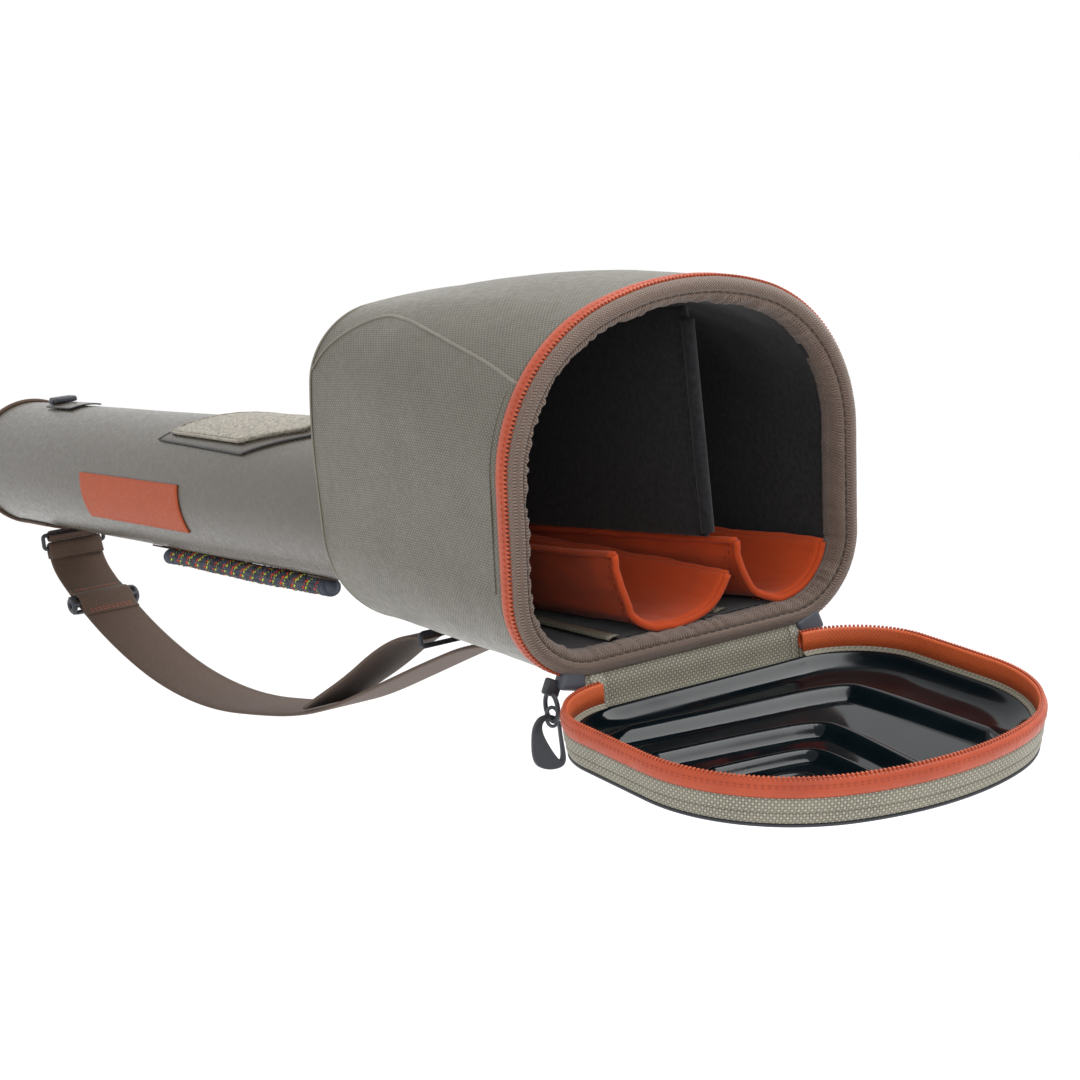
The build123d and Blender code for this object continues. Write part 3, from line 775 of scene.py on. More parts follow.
RIBS = [(rounded([(-68, 24), (-16, 31), (44, 38), (50, 52), (52, 136)]), 4.6, 6.6),
        (rounded([(-64, 56), (-20, 62), (8, 68), (10, 82), (4, 134)]), 4.0, 5.2),
        (rounded([(-56, 82), (-24, 86), (-13, 90), (-12, 102), (-14, 130)]), 3.4, 4.2),
        (rounded([(-50, 101), (-34, 104), (-31, 112), (-32, 126)]), 2.8, 3.4)]


def rib_rise(y, h):
    """How far the nearest moulded rib stands above the tray's floor."""
    rise = 0.0
    for line, height, half in RIBS:
        for (ya, ha), (yb, hb) in zip(line, line[1:]):
            along = Vector((yb - ya, hb - ha))
            t = max(0.0, min(1.0, (Vector((y - ya, h - ha)).dot(along)) / along.length_squared))
            gap = (Vector((ya, ha)) + along * t - Vector((y, h))).length / half
            if gap < 1.5:
                rise = max(rise, height * (0.5 + 0.5 * math.cos(math.pi * gap / 1.5)) ** 0.8)
    return rise


def build_tray():
    """The vacuum-formed tray: a turned-up edge, a floor and nested L-shaped ribs, as one height field."""
    spots = outline_spots(DOOR, 1.6)
    centre_y, centre_h = 0.0, DOOR_MID_H
    rows = []
    count = 76
    for k in range(count):
        share = 1 - k / count
        row = []
        for spot in spots:
            y, h = arch_point(DOOR, spot, 4.4)
            h += DOOR_START
            y, h = centre_y + (y - centre_y) * share, centre_h + (h - centre_h) * share
            edge = (1 - share) * 62.0
            floor = 10.2 + 6.6 * (1 - math.exp(-((edge / 5.0) ** 1.6)))
            inner = min(1.0, max(0.0, (edge - 5) / 8))
            row.append(door_place(y, h, floor - rib_rise(y, h) * inner))
        rows.append(row)
    above = door_place(0, DOOR_MID_H, -40)
    tray = grid("door_tray_moulding", rows, loop=True, inside=above, thick=0.9, away=False, capped=True)
    finish_piece(tray, TRAY_BLACK, "door", ["door_tray"])


def build_hinge_panel():
    """Cloth from under the box's lip down into the door, with a heat-sealed strip at each end."""
    fall = [(99.4, 1.0), (99.9, -0.4), (100.7, -2.2), (101.0, -4.6), (100.9, -7.4), (100.8, -10.4), (101.0, -13.2),
            (101.9, -15.4), (104.0, -16.8), (107.5, -17.4)]

    def sheet(name, y0, y1, proud, material, steps):
        rows = []
        for x, z in fall:
            row = []
            for k in range(steps + 1):
                y = y0 + (y1 - y0) * k / steps
                rise = max(0.0, abs(y) - 52) ** 2 / 76 * max(0.0, 1 + z / 9)
                row.append((x + proud + 0.25 * noise.noise(Vector((y, z, 3)) * 0.12), y, z + rise))
            rows.append(row)
        piece = grid(name, rows, inside=(60, 0, -10), thick=0.9)
        piece.data.materials.append(material)
        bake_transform(piece)
        return piece

    web = sheet("hinge_web", -60, 60, 0.0, OUTER_BAND, 60)
    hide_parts("door_hinge_panel")
    sheet("hinge_strip_near", -56, -49, 0.5, CLEAR_TAPE, 8)
    sheet("hinge_strip_far", 49, 56, 0.5, CLEAR_TAPE, 8)


# ---- inside the box --------------------------------------------------------------------------------------
CRADLE_FLOOR = LINING_IN + 1.4
NEAR_FRONT = [(-35, 47), (-33.5, 38), (-31, 28), (-27, 19), (-19, 13.2), (-9, 11.8), (3, 12.4), (12, 15), (18, 20),
              (23, 28)]
FAR_FRONT = [(28, 42), (29.5, 33), (33, 23.5), (40, 16), (50, 12.4), (59, 13), (66, 16.5), (71, 21.5), (74.5, 27),
             (76.5, 33)]
CRADLES = {"rod_cradle_near": (NEAR_FRONT, -18.5), "rod_cradle_far": (FAR_FRONT, 18.5)}


def rear_profile(centre):
    """The open U at the back of a cradle, from the near lip down and up to the far one."""
    bowl = [(centre + 13 * math.cos(math.pi * (1 + k / 5)), CRADLE_FLOOR + 14 + 14 * math.sin(math.pi * (1 + k / 5)))
            for k in range(6)]
    return [(centre - 17, CRADLE_FLOOR + 30), (centre - 15, CRADLE_FLOOR + 22)] + bowl + [
        (centre + 15, CRADLE_FLOOR + 22), (centre + 17, CRADLE_FLOOR + 30)]


def evenly(points, count):
    """A given number of points at even steps along a smooth run through the given ones."""
    run = [Vector(q) for q in smooth_pairs(points, 10)]
    reach = [0.0]
    for a, b in zip(run, run[1:]):
        reach.append(reach[-1] + (b - a).length)
    result, i = [], 0
    for k in range(count):
        target = reach[-1] * k / (count - 1)
        while i < len(run) - 2 and reach[i + 1] < target:
            i += 1
        result.append(run[i].lerp(run[i + 1], (target - reach[i]) / max(reach[i + 1] - reach[i], 1e-9)))
    return result


def build_cradles():
    for name, (front_line, rear_y) in CRADLES.items():
        front, rear = evenly(front_line, 41), evenly(rear_profile(rear_y), 41)
        middle_y = sum(p.x for p in front) / 41
        rows = []
        for i in range(56):
            t = i / 55
            row = []
            for j, (a, b) in enumerate(zip(front, rear)):
                flat = a.lerp(b, t ** 0.9)
                x = (X_OPEN - 7.5) - (BOX_LENGTH - 24) * t
                place = Vector((x * 0.035, flat.x * 0.1, flat.y * 0.1)) + Vector((middle_y, 0, 0))
                crease = noise.noise(place) + 0.5 * noise.noise(place * 2.6)
                near_hem = math.exp(-((t * 55 - 3.2) / 1.6) ** 2)
                pinch = 0.5 * near_hem - 0.25 * near_hem * math.sin(j * 1.9)
                lift = flat.y - CRADLE_FLOOR
                sideways = 1 if j > 20 else -1
                bulge = 1.2 * crease * min(1, lift / 8) - pinch
                row.append((x + lift * math.sin(RAKE) * (1 - t), flat.x + sideways * bulge, flat.y + 0.8 * crease))
            rows.append(row)
        cloth = grid(name + "_cloth", rows, inside=(0, (middle_y + rear_y) / 2, 60), thick=2.6, away=True)
        soft = cloth.modifiers.new("soft", "SUBSURF")
        soft.levels = soft.render_levels = 1
        finish_piece(cloth, RUST_CLOTH, "case", [name])
        edges = {"front": rows[0], "near_lip": [r[0] for r in rows], "far_lip": [r[-1] for r in rows]}
        for label, line in edges.items():
            hem = []
            for k, q in enumerate(line):
                pull = 0.25 * noise.noise(Vector((k * 0.7, middle_y, 0)))
                hem.append(Vector(q) + Vector((0.4 + pull if label == "front" else 0, 0, 0.2 + pull)))
            section = ring(1.6, 12, 0.85)
            finish_piece(sweep(f"{name}_{label}_hem", hem, section, up=(1, 0.01, 0.02)), RUST_CLOTH, "case")
        centre = Vector((0, middle_y, 60))
        inner = [Vector(q) + (centre - Vector(q)).normalized() * 0.35 for q in rows[2]]
        outer = [Vector(q) - (centre - Vector(q)).normalized() * 2.7 for q in rows[2]]
        for label, line in (("inner", inner), ("outer", outer)):
            stitches(f"{name}_stitches_{label}", line, lambda p, c=centre: c - p, THREAD_DARK_RUST, "case",
                     1.9, 1.2, 0.55)
    build_base_tape()


def build_base_tape():
    """The woven tape that the cradles are sewn to, which shows as a thin strip beside them."""
    for label, (x0, y0), (x1, y1) in (("near", (93, -37), (-60, -27)), ("middle", (90, 22), (-60, 2)),
                                      ("far", (88, 70), (20, 52))):
        rows = []
        for k in range(31):
            t = k / 30
            x, y = x0 + (x1 - x0) * t, y0 + (y1 - y0) * t
            wave = 0.3 * noise.noise(Vector((x * 0.08, y0, 2)))
            rise = 11.9 + (max(0.0, abs(y) - 50) ** 2) / 52
            rows.append([(x, y - 3.0, rise + wave), (x, y - 1.4, rise + 0.9 + wave), (x, y + 1.4, rise + 1.2 + wave),
                         (x, y + 3.0, rise + 0.8 + wave)])
        tape = grid(f"cradle_tape_{label}", rows, inside=(0, 0, -60), thick=0.7)
        finish_piece(tape, OUTER_BAND, "case")


def build_divider():
    """A padded wall between the reels, bound along its front edge."""
    rows = []
    for i in range(30):
        t = i / 29
        x = X_REAR + 14 + (X_OPEN - 16 - (X_REAR + 14)) * t
        mid = 22.0 * t
        low, high = 44.0, 146.0 - 10.0 + 8.0 * t
        ring_points = []
        for a in around(28):
            z = (low + high) / 2 + (high - low) / 2 * math.copysign(abs(math.sin(a)) ** 0.35, math.sin(a))
            bulge = 2.4 + 1.0 * noise.noise(Vector((x * 0.02, 5, z * 0.03)))
            ring_points.append((x, mid + bulge * math.copysign(abs(math.cos(a)) ** 0.6, math.cos(a)), z))
        rows.append(ring_points)
    wall = close_ends(grid("divider_wall", rows, loop=True))
    finish_piece(wall, BLACK_CLOTH, "case", ["reel_divider"])
    front = [(X_OPEN - 15, 22.0, 46 + 92 * k / 40) for k in range(41)]
    finish_piece(sweep("divider_binding", front, ring(3.0, 10, 1.0)), BLACK_CLOTH, "case")


# ---- tube ------------------------------------------------------------------------------------------------
def tube_at(x, angle, radius):
    """A point round the tube; angle is in degrees from the top, +Y first."""
    a = math.radians(angle)
    return Vector((x, radius * math.sin(a), TUBE_Z + radius * math.cos(a)))


def tube_patch(name, x0, x1, a0, a1, radius, thick, steps=(40, 20)):
    rows = [[tube_at(x0 + (x1 - x0) * i / steps[0], a0 + (a1 - a0) * j / steps[1], radius)
             for j in range(steps[1] + 1)] for i in range(steps[0] + 1)]
    return grid(name, rows, inside=((x0 + x1) / 2, 0, TUBE_Z), thick=thick)


def build_tube():
    rows = []
    for i in range(150):
        x = WRAP_END + (X_REAR - X_END + 1) * i / 149
        slack = 0.25 * noise.noise(Vector((x * 0.01, 3, 0)))
        rows.append([tube_at(x, 360 * j / 120, TUBE_R + slack) for j in range(120)])
    cover = grid("tube_wrap", rows, loop=True, inside=(-390, 0, TUBE_Z), thick=1.1)
    finish_piece(cover, OUTER_FINE, "case", ["tube_cover"])
    collar = [tube_at(X_REAR - 0.5, 6 * k, TUBE_R + 1.2) for k in range(60)]
    finish_piece(sweep("tube_collar_seam", collar, ring(1.3, 10), closed=True), OUTER, "case")
    seam = [tube_at(X_END + 12 + k * 6, 135, TUBE_R + 0.2) for k in range(94)]
    finish_piece(sweep("tube_long_seam", seam, ring(1.3, 8, 0.4), up=(0, 0.7, -0.7)), OUTER_FINE, "case")
    dome = []
    for k in range(24):
        share = k / 24
        radius = max(0.4, (TUBE_R + 0.2) * share ** 0.8)
        dome.append([tube_at(WRAP_END - 7.5 * (1 - share ** 4), 360 * j / 90, radius) for j in range(90)])
    cap = grid("tube_end_dome", dome[::-1], loop=True, inside=(X_END + 40, 0, TUBE_Z), thick=1.3, capped=True)
    finish_piece(cap, OUTER_YZ, "case", ["tube_end_cap"])
    hoop = [tube_at(WRAP_END, 4 * k, TUBE_R + 0.9) for k in range(90)]
    finish_piece(sweep("tube_end_piping", hoop, ring(1.5, 10), closed=True), BROWN_WEBBING, "case")


def plan_patch(name, outline, radius, thick, material, replaces, rise=0.0, puff=0.0):
    """A flat-cut patch laid over the tube: outline is in X and Y, seen from above."""
    bm = bmesh.new()
    face = bm.faces.new([bm.verts.new((x, y, 0)) for x, y in outline])
    bmesh.ops.triangulate(bm, faces=[face])
    for _ in range(5):
        bmesh.ops.subdivide_edges(bm, edges=[e for e in bm.edges if e.calc_length() > 3.0], cuts=1)
        bmesh.ops.triangulate(bm, faces=bm.faces)
    for v in bm.verts:
        lift = radius + rise + puff * noise.noise(v.co * 0.35)
        v.co.z = TUBE_Z + math.sqrt(max(lift ** 2 - v.co.y ** 2, 1.0))
    bmesh.ops.recalc_face_normals(bm, faces=bm.faces)
    bm.transform(Matrix.Scale(MM, 4))
    mesh = bpy.data.meshes.new(name)
    bm.to_mesh(mesh)
    bm.free()
    if mesh.polygons[0].normal.z < 0:
        mesh.flip_normals()
    shade_smooth(mesh)
    layer = mesh.uv_layers.new(name="cloth")
    for loop, corner in zip(layer.data, mesh.loops):
        co = mesh.vertices[corner.vertex_index].co
        loop.uv = (co.x, co.y)
    obj = link(name, mesh)
    add_thickness(obj, thick)
    return finish_piece(obj, material, "case", replaces)


def build_patches():
    backing = [(-378, -29), (-262, -32), (-236, -26), (-202, -18), (-202, 18), (-236, 26), (-262, 32), (-290, 29)]
    felt = [(-366, -26), (-270, -28), (-212, -15), (-212, 15), (-262, 28), (-280, 24)]
    plan_patch("patch_backing_cloth", backing, TUBE_R, 0.8, OUTER_FINE, ["patch_backing"], 1.0)
    plan_patch("loop_felt_patch", felt, TUBE_R, 2.4, FELT, ["loop_patch"], 3.0, 0.5)
    for k, (line, lift) in enumerate(((backing, 1.1), (felt, 2.6))):
        closed = [Vector((x, y, TUBE_Z + math.sqrt((TUBE_R + lift) ** 2 - y ** 2))) for x, y in line]
        fine = [a.lerp(b, s / 8) for a, b in zip(closed, closed[1:] + closed[:1]) for s in range(8)]
        for p in fine:
            p.z = TUBE_Z + math.sqrt((TUBE_R + lift) ** 2 - p.y ** 2)
        edge = sweep(f"patch_edge_{k}", fine, ring(0.9 if k else 0.4, 8), closed=True)
        finish_piece(edge, SLATE_DARK if k == 0 else FELT, "case")
    label = tube_patch("blank_label", -479, -331, -118, -78, TUBE_R + 1.0, 0.8, (50, 16))
    finish_piece(label, RUST_LABEL, "case", ["label_plate"])
    inset_line = [tube_at(x, a, TUBE_R + 1.0) for x, a in
                  [(-476 + 142 * k / 40, -80) for k in range(41)] + [(-334, -80 - 36 * k / 10) for k in range(11)] +
                  [(-334 - 142 * k / 40, -116) for k in range(41)] + [(-476, -116 + 36 * k / 10) for k in range(11)]]
    stitches("label_stitches", inset_line, lambda p: (0, p.y, p.z - TUBE_Z), THREAD_RUST, "case",
             1.6, 1.0, 0.45, closed=True)
    for label_name, x0, x1 in (("front", -204, -178), ("rear", -604, -560)):
        tab = tube_patch(f"lash_tab_{label_name}_cloth", x0, x1, -14, 14, TUBE_R + 1.9, 0.9, (20, 14))
        finish_piece(tab, OUTER_FINE, "case", [f"lash_tab_{label_name}"])
        rim = [tube_at(x, a, TUBE_R + 1.6) for x, a in
               [(x0 + (x1 - x0) * k / 10, -14) for k in range(11)] + [(x1, -14 + 28 * k / 8) for k in range(1, 8)] +
               [(x1 - (x1 - x0) * k / 10, 14) for k in range(11)] + [(x0, 14 - 28 * k / 8) for k in range(1, 8)]]
        finish_piece(sweep(f"lash_tab_edge_{label_name}", rim, ring(0.5, 8), closed=True), SLATE_DARK, "case")
        x = x0 + 4
        body = block(f"lash_buckle_{label_name}", (13, 15, 3.8), (x, 0, TUBE_Z + TUBE_R + 4.0), bevel=1.4)
        finish_piece(body, SLATE_DARK, "case", [f"lash_hook_{label_name}"])
        pin = sweep(f"lash_pin_{label_name}", [(x, -9.5, TUBE_Z + TUBE_R + 3.4), (x, 9.5, TUBE_Z + TUBE_R + 3.4)],
                    ring(1.4, 10))
        finish_piece(pin, SLATE, "case")


# ---- rope handle -----------------------------------------------------------------------------------------
ROPE_D = 10.0
ROPE_STEP = 0.9
ROPE_ROUTE = [(-226, -8, -1.1), (-246, -8.5, -1.2), (-280, -9.5, -1.4), (-322, -9, -1.6), (-366, -8, -1.4),
              (-402, -7.5, -1.2), (-424, -8, -1.1)]


def route_points(route):
    """The smooth line that the route's control points give, in metres."""
    curve = bpy.data.curves.new("rope_line", "CURVE")
    curve.dimensions = "3D"
    curve.resolution_u = 24
    spline = curve.splines.new("NURBS")
    spline.points.add(len(route) - 1)
    for point, p in zip(spline.points, route):
        point.co = (*(c * MM for c in p), 1.0)
    spline.order_u = 3
    spline.use_endpoint_u = True
    holder = link("rope_line", curve)
    bpy.context.view_layer.update()
    mesh = bpy.data.meshes.new_from_object(holder)
    points = [v.co.copy() for v in mesh.vertices]
    bpy.data.objects.remove(holder)
    bpy.data.meshes.remove(mesh)
    return points


def build_rope():
    """Braided rope: a core, and strands that cross over and under each other, some of them tracers."""
    line = [p / MM for p in route_points(ROPE_ROUTE)]
    length = sum((b - a).length for a, b in zip(line, line[1:]))
    fine = [p for p, _ in walk(line, ROPE_STEP)]
    fine.append(line[-1])
    rope = frames_along(fine)
    blue = coated("rope_blue", rgb(58, 63, 74), rgb(86, 91, 102), 0.75, 900.0, 0.5)
    red = coated("rope_red", rgb(196, 52, 34), rgb(214, 74, 48), 0.7, 900.0, 0.5)
    green = coated("rope_green", rgb(168, 180, 40), rgb(196, 204, 66), 0.7, 900.0, 0.5)
    core = sweep("rope_handle_rope", fine, ring(ROPE_D / 2 - 1.0, 16))
    finish_piece(core, blue, "case", ["rope_handle"])
    count, pitch = 16, 26.0
    for n in range(count):
        way = 1 if n % 2 else -1
        points = []
        for i, (p, _, side, top) in enumerate(rope):
            turn = way * 2 * math.pi * (i * ROPE_STEP) / pitch + 2 * math.pi * (n // 2) / (count / 2)
            weave = 0.45 * way * math.sin((count / 2) * (turn - (0.5 if way > 0 else 0) * math.pi / (count / 2)))
            r = ROPE_D / 2 - 1.0 + 0.25 + weave * 0.8
            points.append(p + side * r * math.cos(turn) + top * r * math.sin(turn))
        strand = sweep(f"rope_strand_{n}", points, ring(0.98 if n % 2 else 1.1, 6, 0.62))
        strand.data.materials.append(red if n in (1, 9) else green if n in (3, 11) else blue)
        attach(strand, "case")
    for label, end, away in (("front", fine[0], 1), ("rear", fine[-1], -1)):
        cap = [(end.x + away * k * 1.1, end.y, end.z) for k in range(11)]
        plug = sweep(f"rope_end_{label}", cap, ring(5.0, 16), twist=lambda t: math.sqrt(max(0.02, 1 - t ** 3)))
        finish_piece(plug, blue, "case")
        for k, (shift, tilt) in enumerate(((1.5, 0.3), (5.4, -0.35))):
            hank = [(end.x + away * (shift + 2.2 * tilt * math.sin(a)), end.y + 4.0 * math.cos(a),
                     end.z - 0.4 + 2.9 * math.sin(a)) for a in around(28)]
            knot = sweep(f"rope_knot_{label}_{k}", hank, ring(2.2, 10), closed=True)
            finish_piece(knot, blue, "case",
                                        [f"rope_socket_{label}"] if k == 0 else [])
        tab = tube_patch(f"rope_tab_{label}", end.x - 7 + away * 6, end.x + 7 + away * 6, 178, 204, TUBE_R + 1.2, 1.0,
                         (10, 10))
        finish_piece(tab, BROWN_WEBBING, "case")
    tuple(c * MM for c in ROPE_ROUTE[0])
    return length


# ---- strap -----------------------------------------------------------------------------------------------
STRAP_ROUTE = [(-617, -12), (-616, -22), (-596, -36), (-545, -60), (-480, -79), (-425, -87), (-370, -88.5),
               (-312, -83), (-262, -76.5), (-218, -66), (-163, -47), (-110, -28.5), (-62, -13), (-44, -11.4)]
LAYER_ROUTE = [(-252, -71.0), (-232, -62), (-196, -46.5), (-158, -27), (-126, -15.5), (-106, -14.5)]


def smooth_route(route):
    return [p / MM for p in route_points([(x, 0, z) for x, z in route])]


def strap_section(width, thick):
    """Webbing is a little thinner at its woven edges."""
    half, t = width / 2, thick / 2
    top = [(-half, 0), (-half + 0.6, t * 0.8), (-half + 2, t), (0, t), (half - 2, t), (half - 0.6, t * 0.8),
           (half, 0)]
    return top + [(a, -b) for a, b in reversed(top[1:-1])]


def ribbon(name, points, width, thick, twist=0.0):
    """A flat strap with some roll about its own line, and its flat side across Y."""
    rows = []
    section = strap_section(width, thick)
    fine = [p for p, _ in walk(points, 3.0)] + [points[-1]]
    frames = frames_along(fine, up=(0, 0, 1))
    for i, (p, _, side, top) in enumerate(frames):
        t = i / (len(frames) - 1)
        roll = twist * math.sin(math.pi * t) ** 2
        a = side * math.cos(roll) + top * math.sin(roll)
        b = top * math.cos(roll) - side * math.sin(roll)
        rows.append([p + a * u + b * v for u, v in section])
    return close_ends(grid(name, rows, loop=True)), frames


def build_strap():
    main, main_frames = ribbon("strap_webbing_long", smooth_route(STRAP_ROUTE), STRAP_W, 2.0)
    finish_piece(main, BROWN_WEBBING, "strap", ["shoulder_strap"])
    layer, layer_frames = ribbon("strap_webbing_return", smooth_route(LAYER_ROUTE), STRAP_W, 2.0)
    finish_piece(layer, BROWN_WEBBING, "strap", ["strap_return"])
    for label, frames in (("long", main_frames), ("return", layer_frames)):
        for side_sign, tag in ((-1, "near"), (1, "far")):
            line = [p + side * side_sign * (STRAP_W / 2 - 3) + top * 0.95 for p, _, side, top in frames[2:-2]]
            stitches(f"strap_stitches_{label}_{tag}", line, lambda p: (0, 0, 1), THREAD_BROWN, "strap",
                     2.2, 1.4, 0.5)
    for label, x, z, width, height, bar in (("rear", -617, -5.6, 46, 12, 2.8), ("front", -102, -14.5, 46, 9, 2.6)):
        w, h, r = width / 2 - bar / 2, height / 2 - bar / 2, 2.0
        corners = []
        for cy, cz, start in ((w - r, h - r, 0), (-w + r, h - r, 90), (-w + r, -h + r, 180), (w - r, -h + r, 270)):
            turns = [math.radians(start + 15 * k) for k in range(7)]
            corners += [(cy + r * math.cos(a), cz + r * math.sin(a)) for a in turns]
        loop = sweep(f"strap_loop_{label}", [(x, y, z + dz) for y, dz in corners], ring(bar / 2, 12), closed=True)
        finish_piece(loop, SLATE_DARK, "strap", [f"strap_ring_{label}"])
    build_glide()
    build_strap_folds()
    build_strap_mounts()


GLIDE_SLOPE = math.radians(25.2)
GLIDE_AT = Vector((-577.0, 0, -45.3))
GLIDE_ALONG = Vector((math.cos(GLIDE_SLOPE), 0, -math.sin(GLIDE_SLOPE)))
GLIDE_UP = Vector((math.sin(GLIDE_SLOPE), 0, math.cos(GLIDE_SLOPE)))


def build_glide():
    """The tri-glide: a frame with a middle bar that the webbing runs over."""
    bars = [(GLIDE_AT + GLIDE_ALONG * offset + GLIDE_UP * lift, Vector((0, 1, 0)), GLIDE_ALONG, GLIDE_UP)
            for offset in (-4.0, 4.0) for lift in (-3.4, 3.4)]
    glide = beads("tri_glide_frame", bars, (47, 3.0, 2.2))
    finish_piece(glide, SLATE_DARK, "strap_tri_glide", ["strap_tri_glide"])
    for label, y in (("near", -22.3), ("far", 22.3)):
        bow = [GLIDE_AT + Vector((0, y, 0)) + GLIDE_ALONG * 4.4 * math.cos(a) + GLIDE_UP * 3.6 * math.sin(a)
               for a in around(32)]
        end = sweep(f"tri_glide_end_{label}", bow, ring(1.8, 12), closed=True)
        finish_piece(end, SLATE_DARK, "strap_tri_glide")


def build_strap_folds():
    """The turns of webbing round the rear ring and over the tri-glide, with their sewn ends."""
    ring_turn = [(-612.5, -17.5), (-614.2, -11.5), (-614.6, -8.4), (-617, -6.7), (-619.4, -8.4), (-619.8, -12.0),
                 (-618.8, -17.5)]
    turn, _ = ribbon("strap_turn_rear", [Vector((x, 0, z)) for x, z in smooth_pairs(ring_turn, 6)], STRAP_W, 1.8)
    finish_piece(turn, BROWN_WEBBING, "strap")
    profile = [(-15, 1.9), (-9, 2.3), (-5.5, 4.6), (-2, 5.7), (2, 5.7), (5.5, 4.6), (8.5, 2.3), (17, 1.9)]
    over = [GLIDE_AT + GLIDE_ALONG * a + GLIDE_UP * b for a, b in smooth_pairs(profile, 6)]
    fold, _ = ribbon("strap_fold_glide", over, STRAP_W - 0.8, 1.5)
    finish_piece(fold, BROWN_WEBBING, "strap_tri_glide")
    for k, reach in enumerate((-12.5, 12.0, 14.5)):
        line = [GLIDE_AT + GLIDE_ALONG * reach + GLIDE_UP * 2.75 + Vector((0, -15 + 30 * m / 12, 0))
                for m in range(13)]
        stitches(f"fold_stitches_{k}", line, lambda p: GLIDE_UP, THREAD_RUST, "strap_tri_glide",
                 2.0, 1.0, 0.55)


def build_strap_mounts():
    rear = tube_patch("strap_mount_rear", -662, -612, 153, 207, TUBE_R + 2.0, 1.9, (24, 14))
    finish_piece(rear, BROWN_WEBBING, "case", ["strap_patch_rear"])
    for k, a in enumerate((156, 204)):
        line = [tube_at(-660 + 46 * s / 20, a, TUBE_R + 2.1) for s in range(21)]
        stitches(f"mount_stitches_{k}", line, lambda p: (0, p.y, p.z - TUBE_Z), THREAD_RUST, "case",
                 2.0, 1.2, 0.5)
    loop = [(-613, 0, 1.6), (-617, 0, 1.3), (-620.0, 0, -0.8), (-619.6, 0, -4.4), (-617, 0, -5.8), (-614.4, 0, -4.4),
            (-613.6, 0, -1.2)]
    tongue, _ = ribbon("strap_tongue_rear", smooth_route([(x, z) for x, _, z in loop]), STRAP_W - 2, 1.6)
    finish_piece(tongue, BROWN_WEBBING, "case")
    rivet = block("strap_rivet_head", (6.8, 6.8, 1.9), (-646, 0, TUBE_Z - TUBE_R - 2.7), bevel=0.8)
    finish_piece(rivet, SLATE, "case", ["strap_rivet"])
    for name, x, length, node in (("strap_pad_front", -93, 28, "strap_patch_front"),
                                  ("strap_pad_end", -28, 30, "strap_sewn_end")):
        rows = [[(x - length / 2 + length * i / 16, -STRAP_W / 2 + STRAP_W * j / 20,
                  -0.4 - 1.6 * (1 if 0 < i < 16 else 0.2)) for j in range(21)] for i in range(17)]
        pad = grid(name, rows, inside=(x, 0, 40), thick=1.6)
        finish_piece(pad, BROWN_WEBBING, "case", [node])
        for y in (-STRAP_W / 2 + 4, STRAP_W / 2 - 4):
            stitches(f"{name}_stitches_{'near' if y < 0 else 'far'}",
                     [(x - length / 2 + 3, y, -2.1), (x + length / 2 - 3, y, -2.1)], lambda p: (0, 0, -1),
                     THREAD_RUST, "case", 2.0, 1.2, 0.5)


# ---- zip furniture ---------------------------------------------------------------------------------------
def build_slider():
    near = block("slider_body", (8.0, 13.6, 8.6), (97.4, -63.6, 0.4), (-14, 0, 0), 2.6, 0.8)
    finish_piece(near, SLATE, "zip_slider", ["zip_slider"])
    bridge = block("slider_bridge", (3.4, 7.4, 7.0), (96, -72.2, -1.2), (-28, 0, 0), 1.2)
    finish_piece(bridge, SLATE_DARK, "zip_slider")
    for label, y in (("near", -54.5), ("far", 60.5)):
        size = (7.6, 13.0, 9.0) if label == "far" else (4.4, 7.0, 3.6)
        height = -0.6 if label == "far" else -2.4
        cover = block(f"zip_end_cover_{label}", size, (98.0, y, height), (20 if y > 0 else -8, 0, 0), 1.6)
        finish_piece(cover, SLATE, "case", [f"zip_end_tab_{label}"])
    hang = [(96 + 4.6 * math.cos(a), -73.2, -9.1 + 6.0 * math.sin(a)) for a in around(40)]
    loop = sweep("pull_ring_loop", hang, ring(1.0, 10), closed=True)
    finish_piece(loop, SLATE_DARK, "zip_pull_ring", ["zip_pull_ring"])
    shackle = [(96 + 0.8 * math.cos(a), -73.4 + 2.4 * math.cos(a), -13.2 + 4.0 * math.sin(a)) for a in around(32)]
    finish_piece(sweep("pull_link", shackle, ring(0.75, 8), closed=True), SLATE, "zip_pull_ring")
    tab = flat_part("pull_tab_blade", [TAB_EDGE, TAB_WINDOW], 1.1, 0.5)
    finish_piece(tab, SLATE_DARK, "zip_pull_tab", ["zip_pull_tab"])


TAB_EDGE = [(-73.5, -11.9), (-79.5, -11.6), (-83.2, -15.5), (-84.4, -21.0), (-84.9, -27.5), (-83.4, -32.0),
            (-78.0, -34.7), (-71.6, -35.0), (-69.2, -32.5), (-69.4, -27.5), (-69.9, -21.0), (-69.9, -15.2)]
TAB_WINDOW = [(-74.0, -13.4), (-78.6, -13.9), (-79.6, -18.0), (-76.4, -25.5), (-72.2, -32.4), (-70.9, -30.0),
              (-71.0, -22.0), (-71.1, -15.6)]


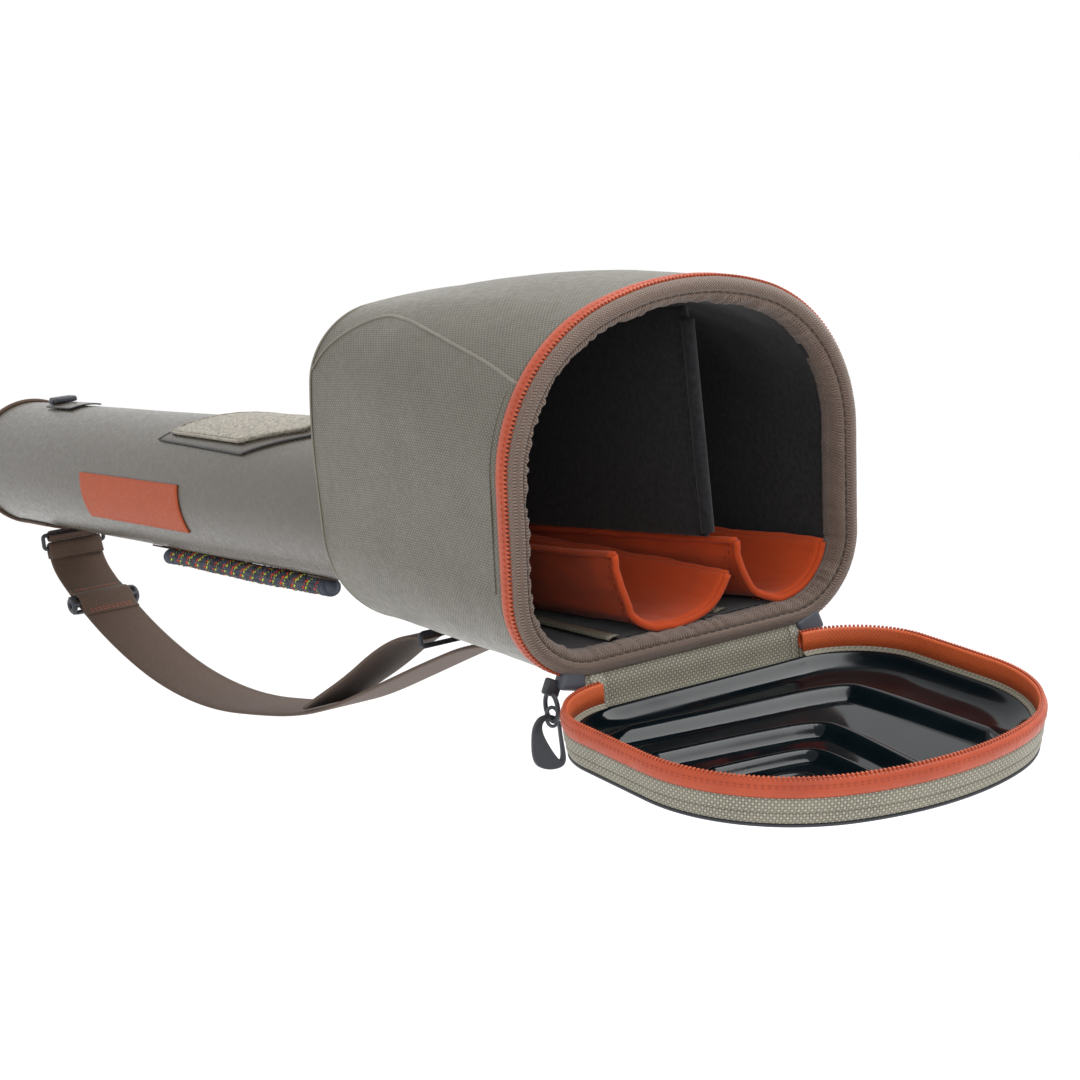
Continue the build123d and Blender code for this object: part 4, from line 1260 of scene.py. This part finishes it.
def flat_part(name, outlines, half, bevel):
    """A moulded plate in the YZ plane of the pull, with rounded edges, from smooth closed outlines."""
    curve = bpy.data.curves.new(name, "CURVE")
    curve.dimensions = "2D"
    curve.fill_mode = "BOTH"
    curve.resolution_u = 8
    for outline in outlines:
        spline = curve.splines.new("NURBS")
        spline.points.add(len(outline) - 1)
        for point, (a, b) in zip(spline.points, outline):
            point.co = (a * MM, b * MM, 0, 1.0)
        spline.order_u = 3
        spline.use_cyclic_u = True
    curve.extrude, curve.bevel_depth, curve.bevel_resolution = (half - bevel) * MM, bevel * MM, 3
    curve.offset = -bevel * MM
    holder = link(name + "_outline", curve)
    bpy.context.view_layer.update()
    mesh = bpy.data.meshes.new_from_object(holder)
    bpy.data.objects.remove(holder)
    turn = Matrix(((0, 0, 1, 96 * MM), (1, 0, 0, 0), (0, 1, 0, 0), (0, 0, 0, 1)))
    mesh.transform(turn)
    mesh.name = name
    return link(name, mesh)


def dress_cad_nodes():
    """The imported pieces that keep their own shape."""
    finishes = {"reel_box_shell": BLACK_PLASTIC, "rod_tube_liner": BLACK_PLASTIC, "tube_end_pad": BLACK_CLOTH,
                "cradle_base": BLACK_CLOTH}
    for name, material in finishes.items():
        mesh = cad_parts[name].data
        mesh.materials.clear()
        mesh.materials.append(material)


# ---- stage, lights and camera ----------------------------------------------------------------------------
FLOOR_Z, FLOOR_REACH = -420.0, 30000.0
SENSOR, FOCAL = 36, 76.0206667             # millimetres
CAMERA_AT = Vector((0.8685, -0.5528, 0.2051))
CAMERA_ANGLES = (58, 9.06, -6.21)          # degrees: azimuth, elevation, roll


def area_light(name, place, aim, size, power, colour=(1, 1, 1)):
    data = bpy.data.lights.new(name, "AREA")
    data.energy, data.size, data.color = power, size, colour
    lamp = link(name, data)
    lamp.location = place
    lamp.rotation_mode = "QUATERNION"
    lamp.rotation_quaternion = (Vector(aim) - Vector(place)).to_track_quat("-Z", "Y")


def build_stage():
    reach = FLOOR_REACH
    corners = [(x, y, FLOOR_Z) for x, y in ((-reach, -reach), (reach, -reach), (reach, reach), (-reach, reach))]
    floor = mesh_object("floor", corners, [(0, 1, 2, 3)], smooth=False)
    pale = Shader("floor_pale", 0.7)
    pale.colour((0.96, 0.96, 0.96, 1.0))
    floor.data.materials.append(pale.mat)
    world = bpy.data.worlds.new("studio")
    bpy.context.scene.world = world
    world.use_nodes = True
    world.node_tree.nodes["Background"].inputs[0].default_value = (1.0, 1.0, 1.0, 1.0)
    world.node_tree.nodes["Background"].inputs[1].default_value = 1.06
    bpy.context.scene.view_settings.view_transform = "Standard"
    area_light("key_top", (0.2, 0.7, 1.3), (0, 0, 0.05), 0.8, 20)
    area_light("fill_front", (1.4, -0.7, 0.7), (0, 0, 0), 1.0, 3)


def build_camera():
    azimuth, elevation, roll = (math.radians(a) for a in CAMERA_ANGLES)
    back = Vector((math.sin(azimuth) * math.cos(elevation), -math.cos(azimuth) * math.cos(elevation),
                   math.sin(elevation)))
    right = Vector((math.cos(azimuth), math.sin(azimuth), 0))
    up = back.cross(right)
    side = right * math.cos(roll) + up * math.sin(roll)
    top = up * math.cos(roll) - right * math.sin(roll)
    data = bpy.data.cameras.new("camera")
    data.lens, data.sensor_width, data.clip_end = FOCAL, SENSOR, 100
    camera = link("camera", data)
    turn = Matrix((side, top, back)).transposed().to_4x4()
    camera.matrix_world = Matrix.Translation(CAMERA_AT) @ turn
    bpy.context.scene.camera = camera


build_camera()
build_rope()
build_box()
build_opening()
build_door()
build_cradles()
build_divider()
build_tube()
build_patches()
build_strap()
build_slider()
dress_cad_nodes()
build_stage()
bpy.context.view_layer.update()
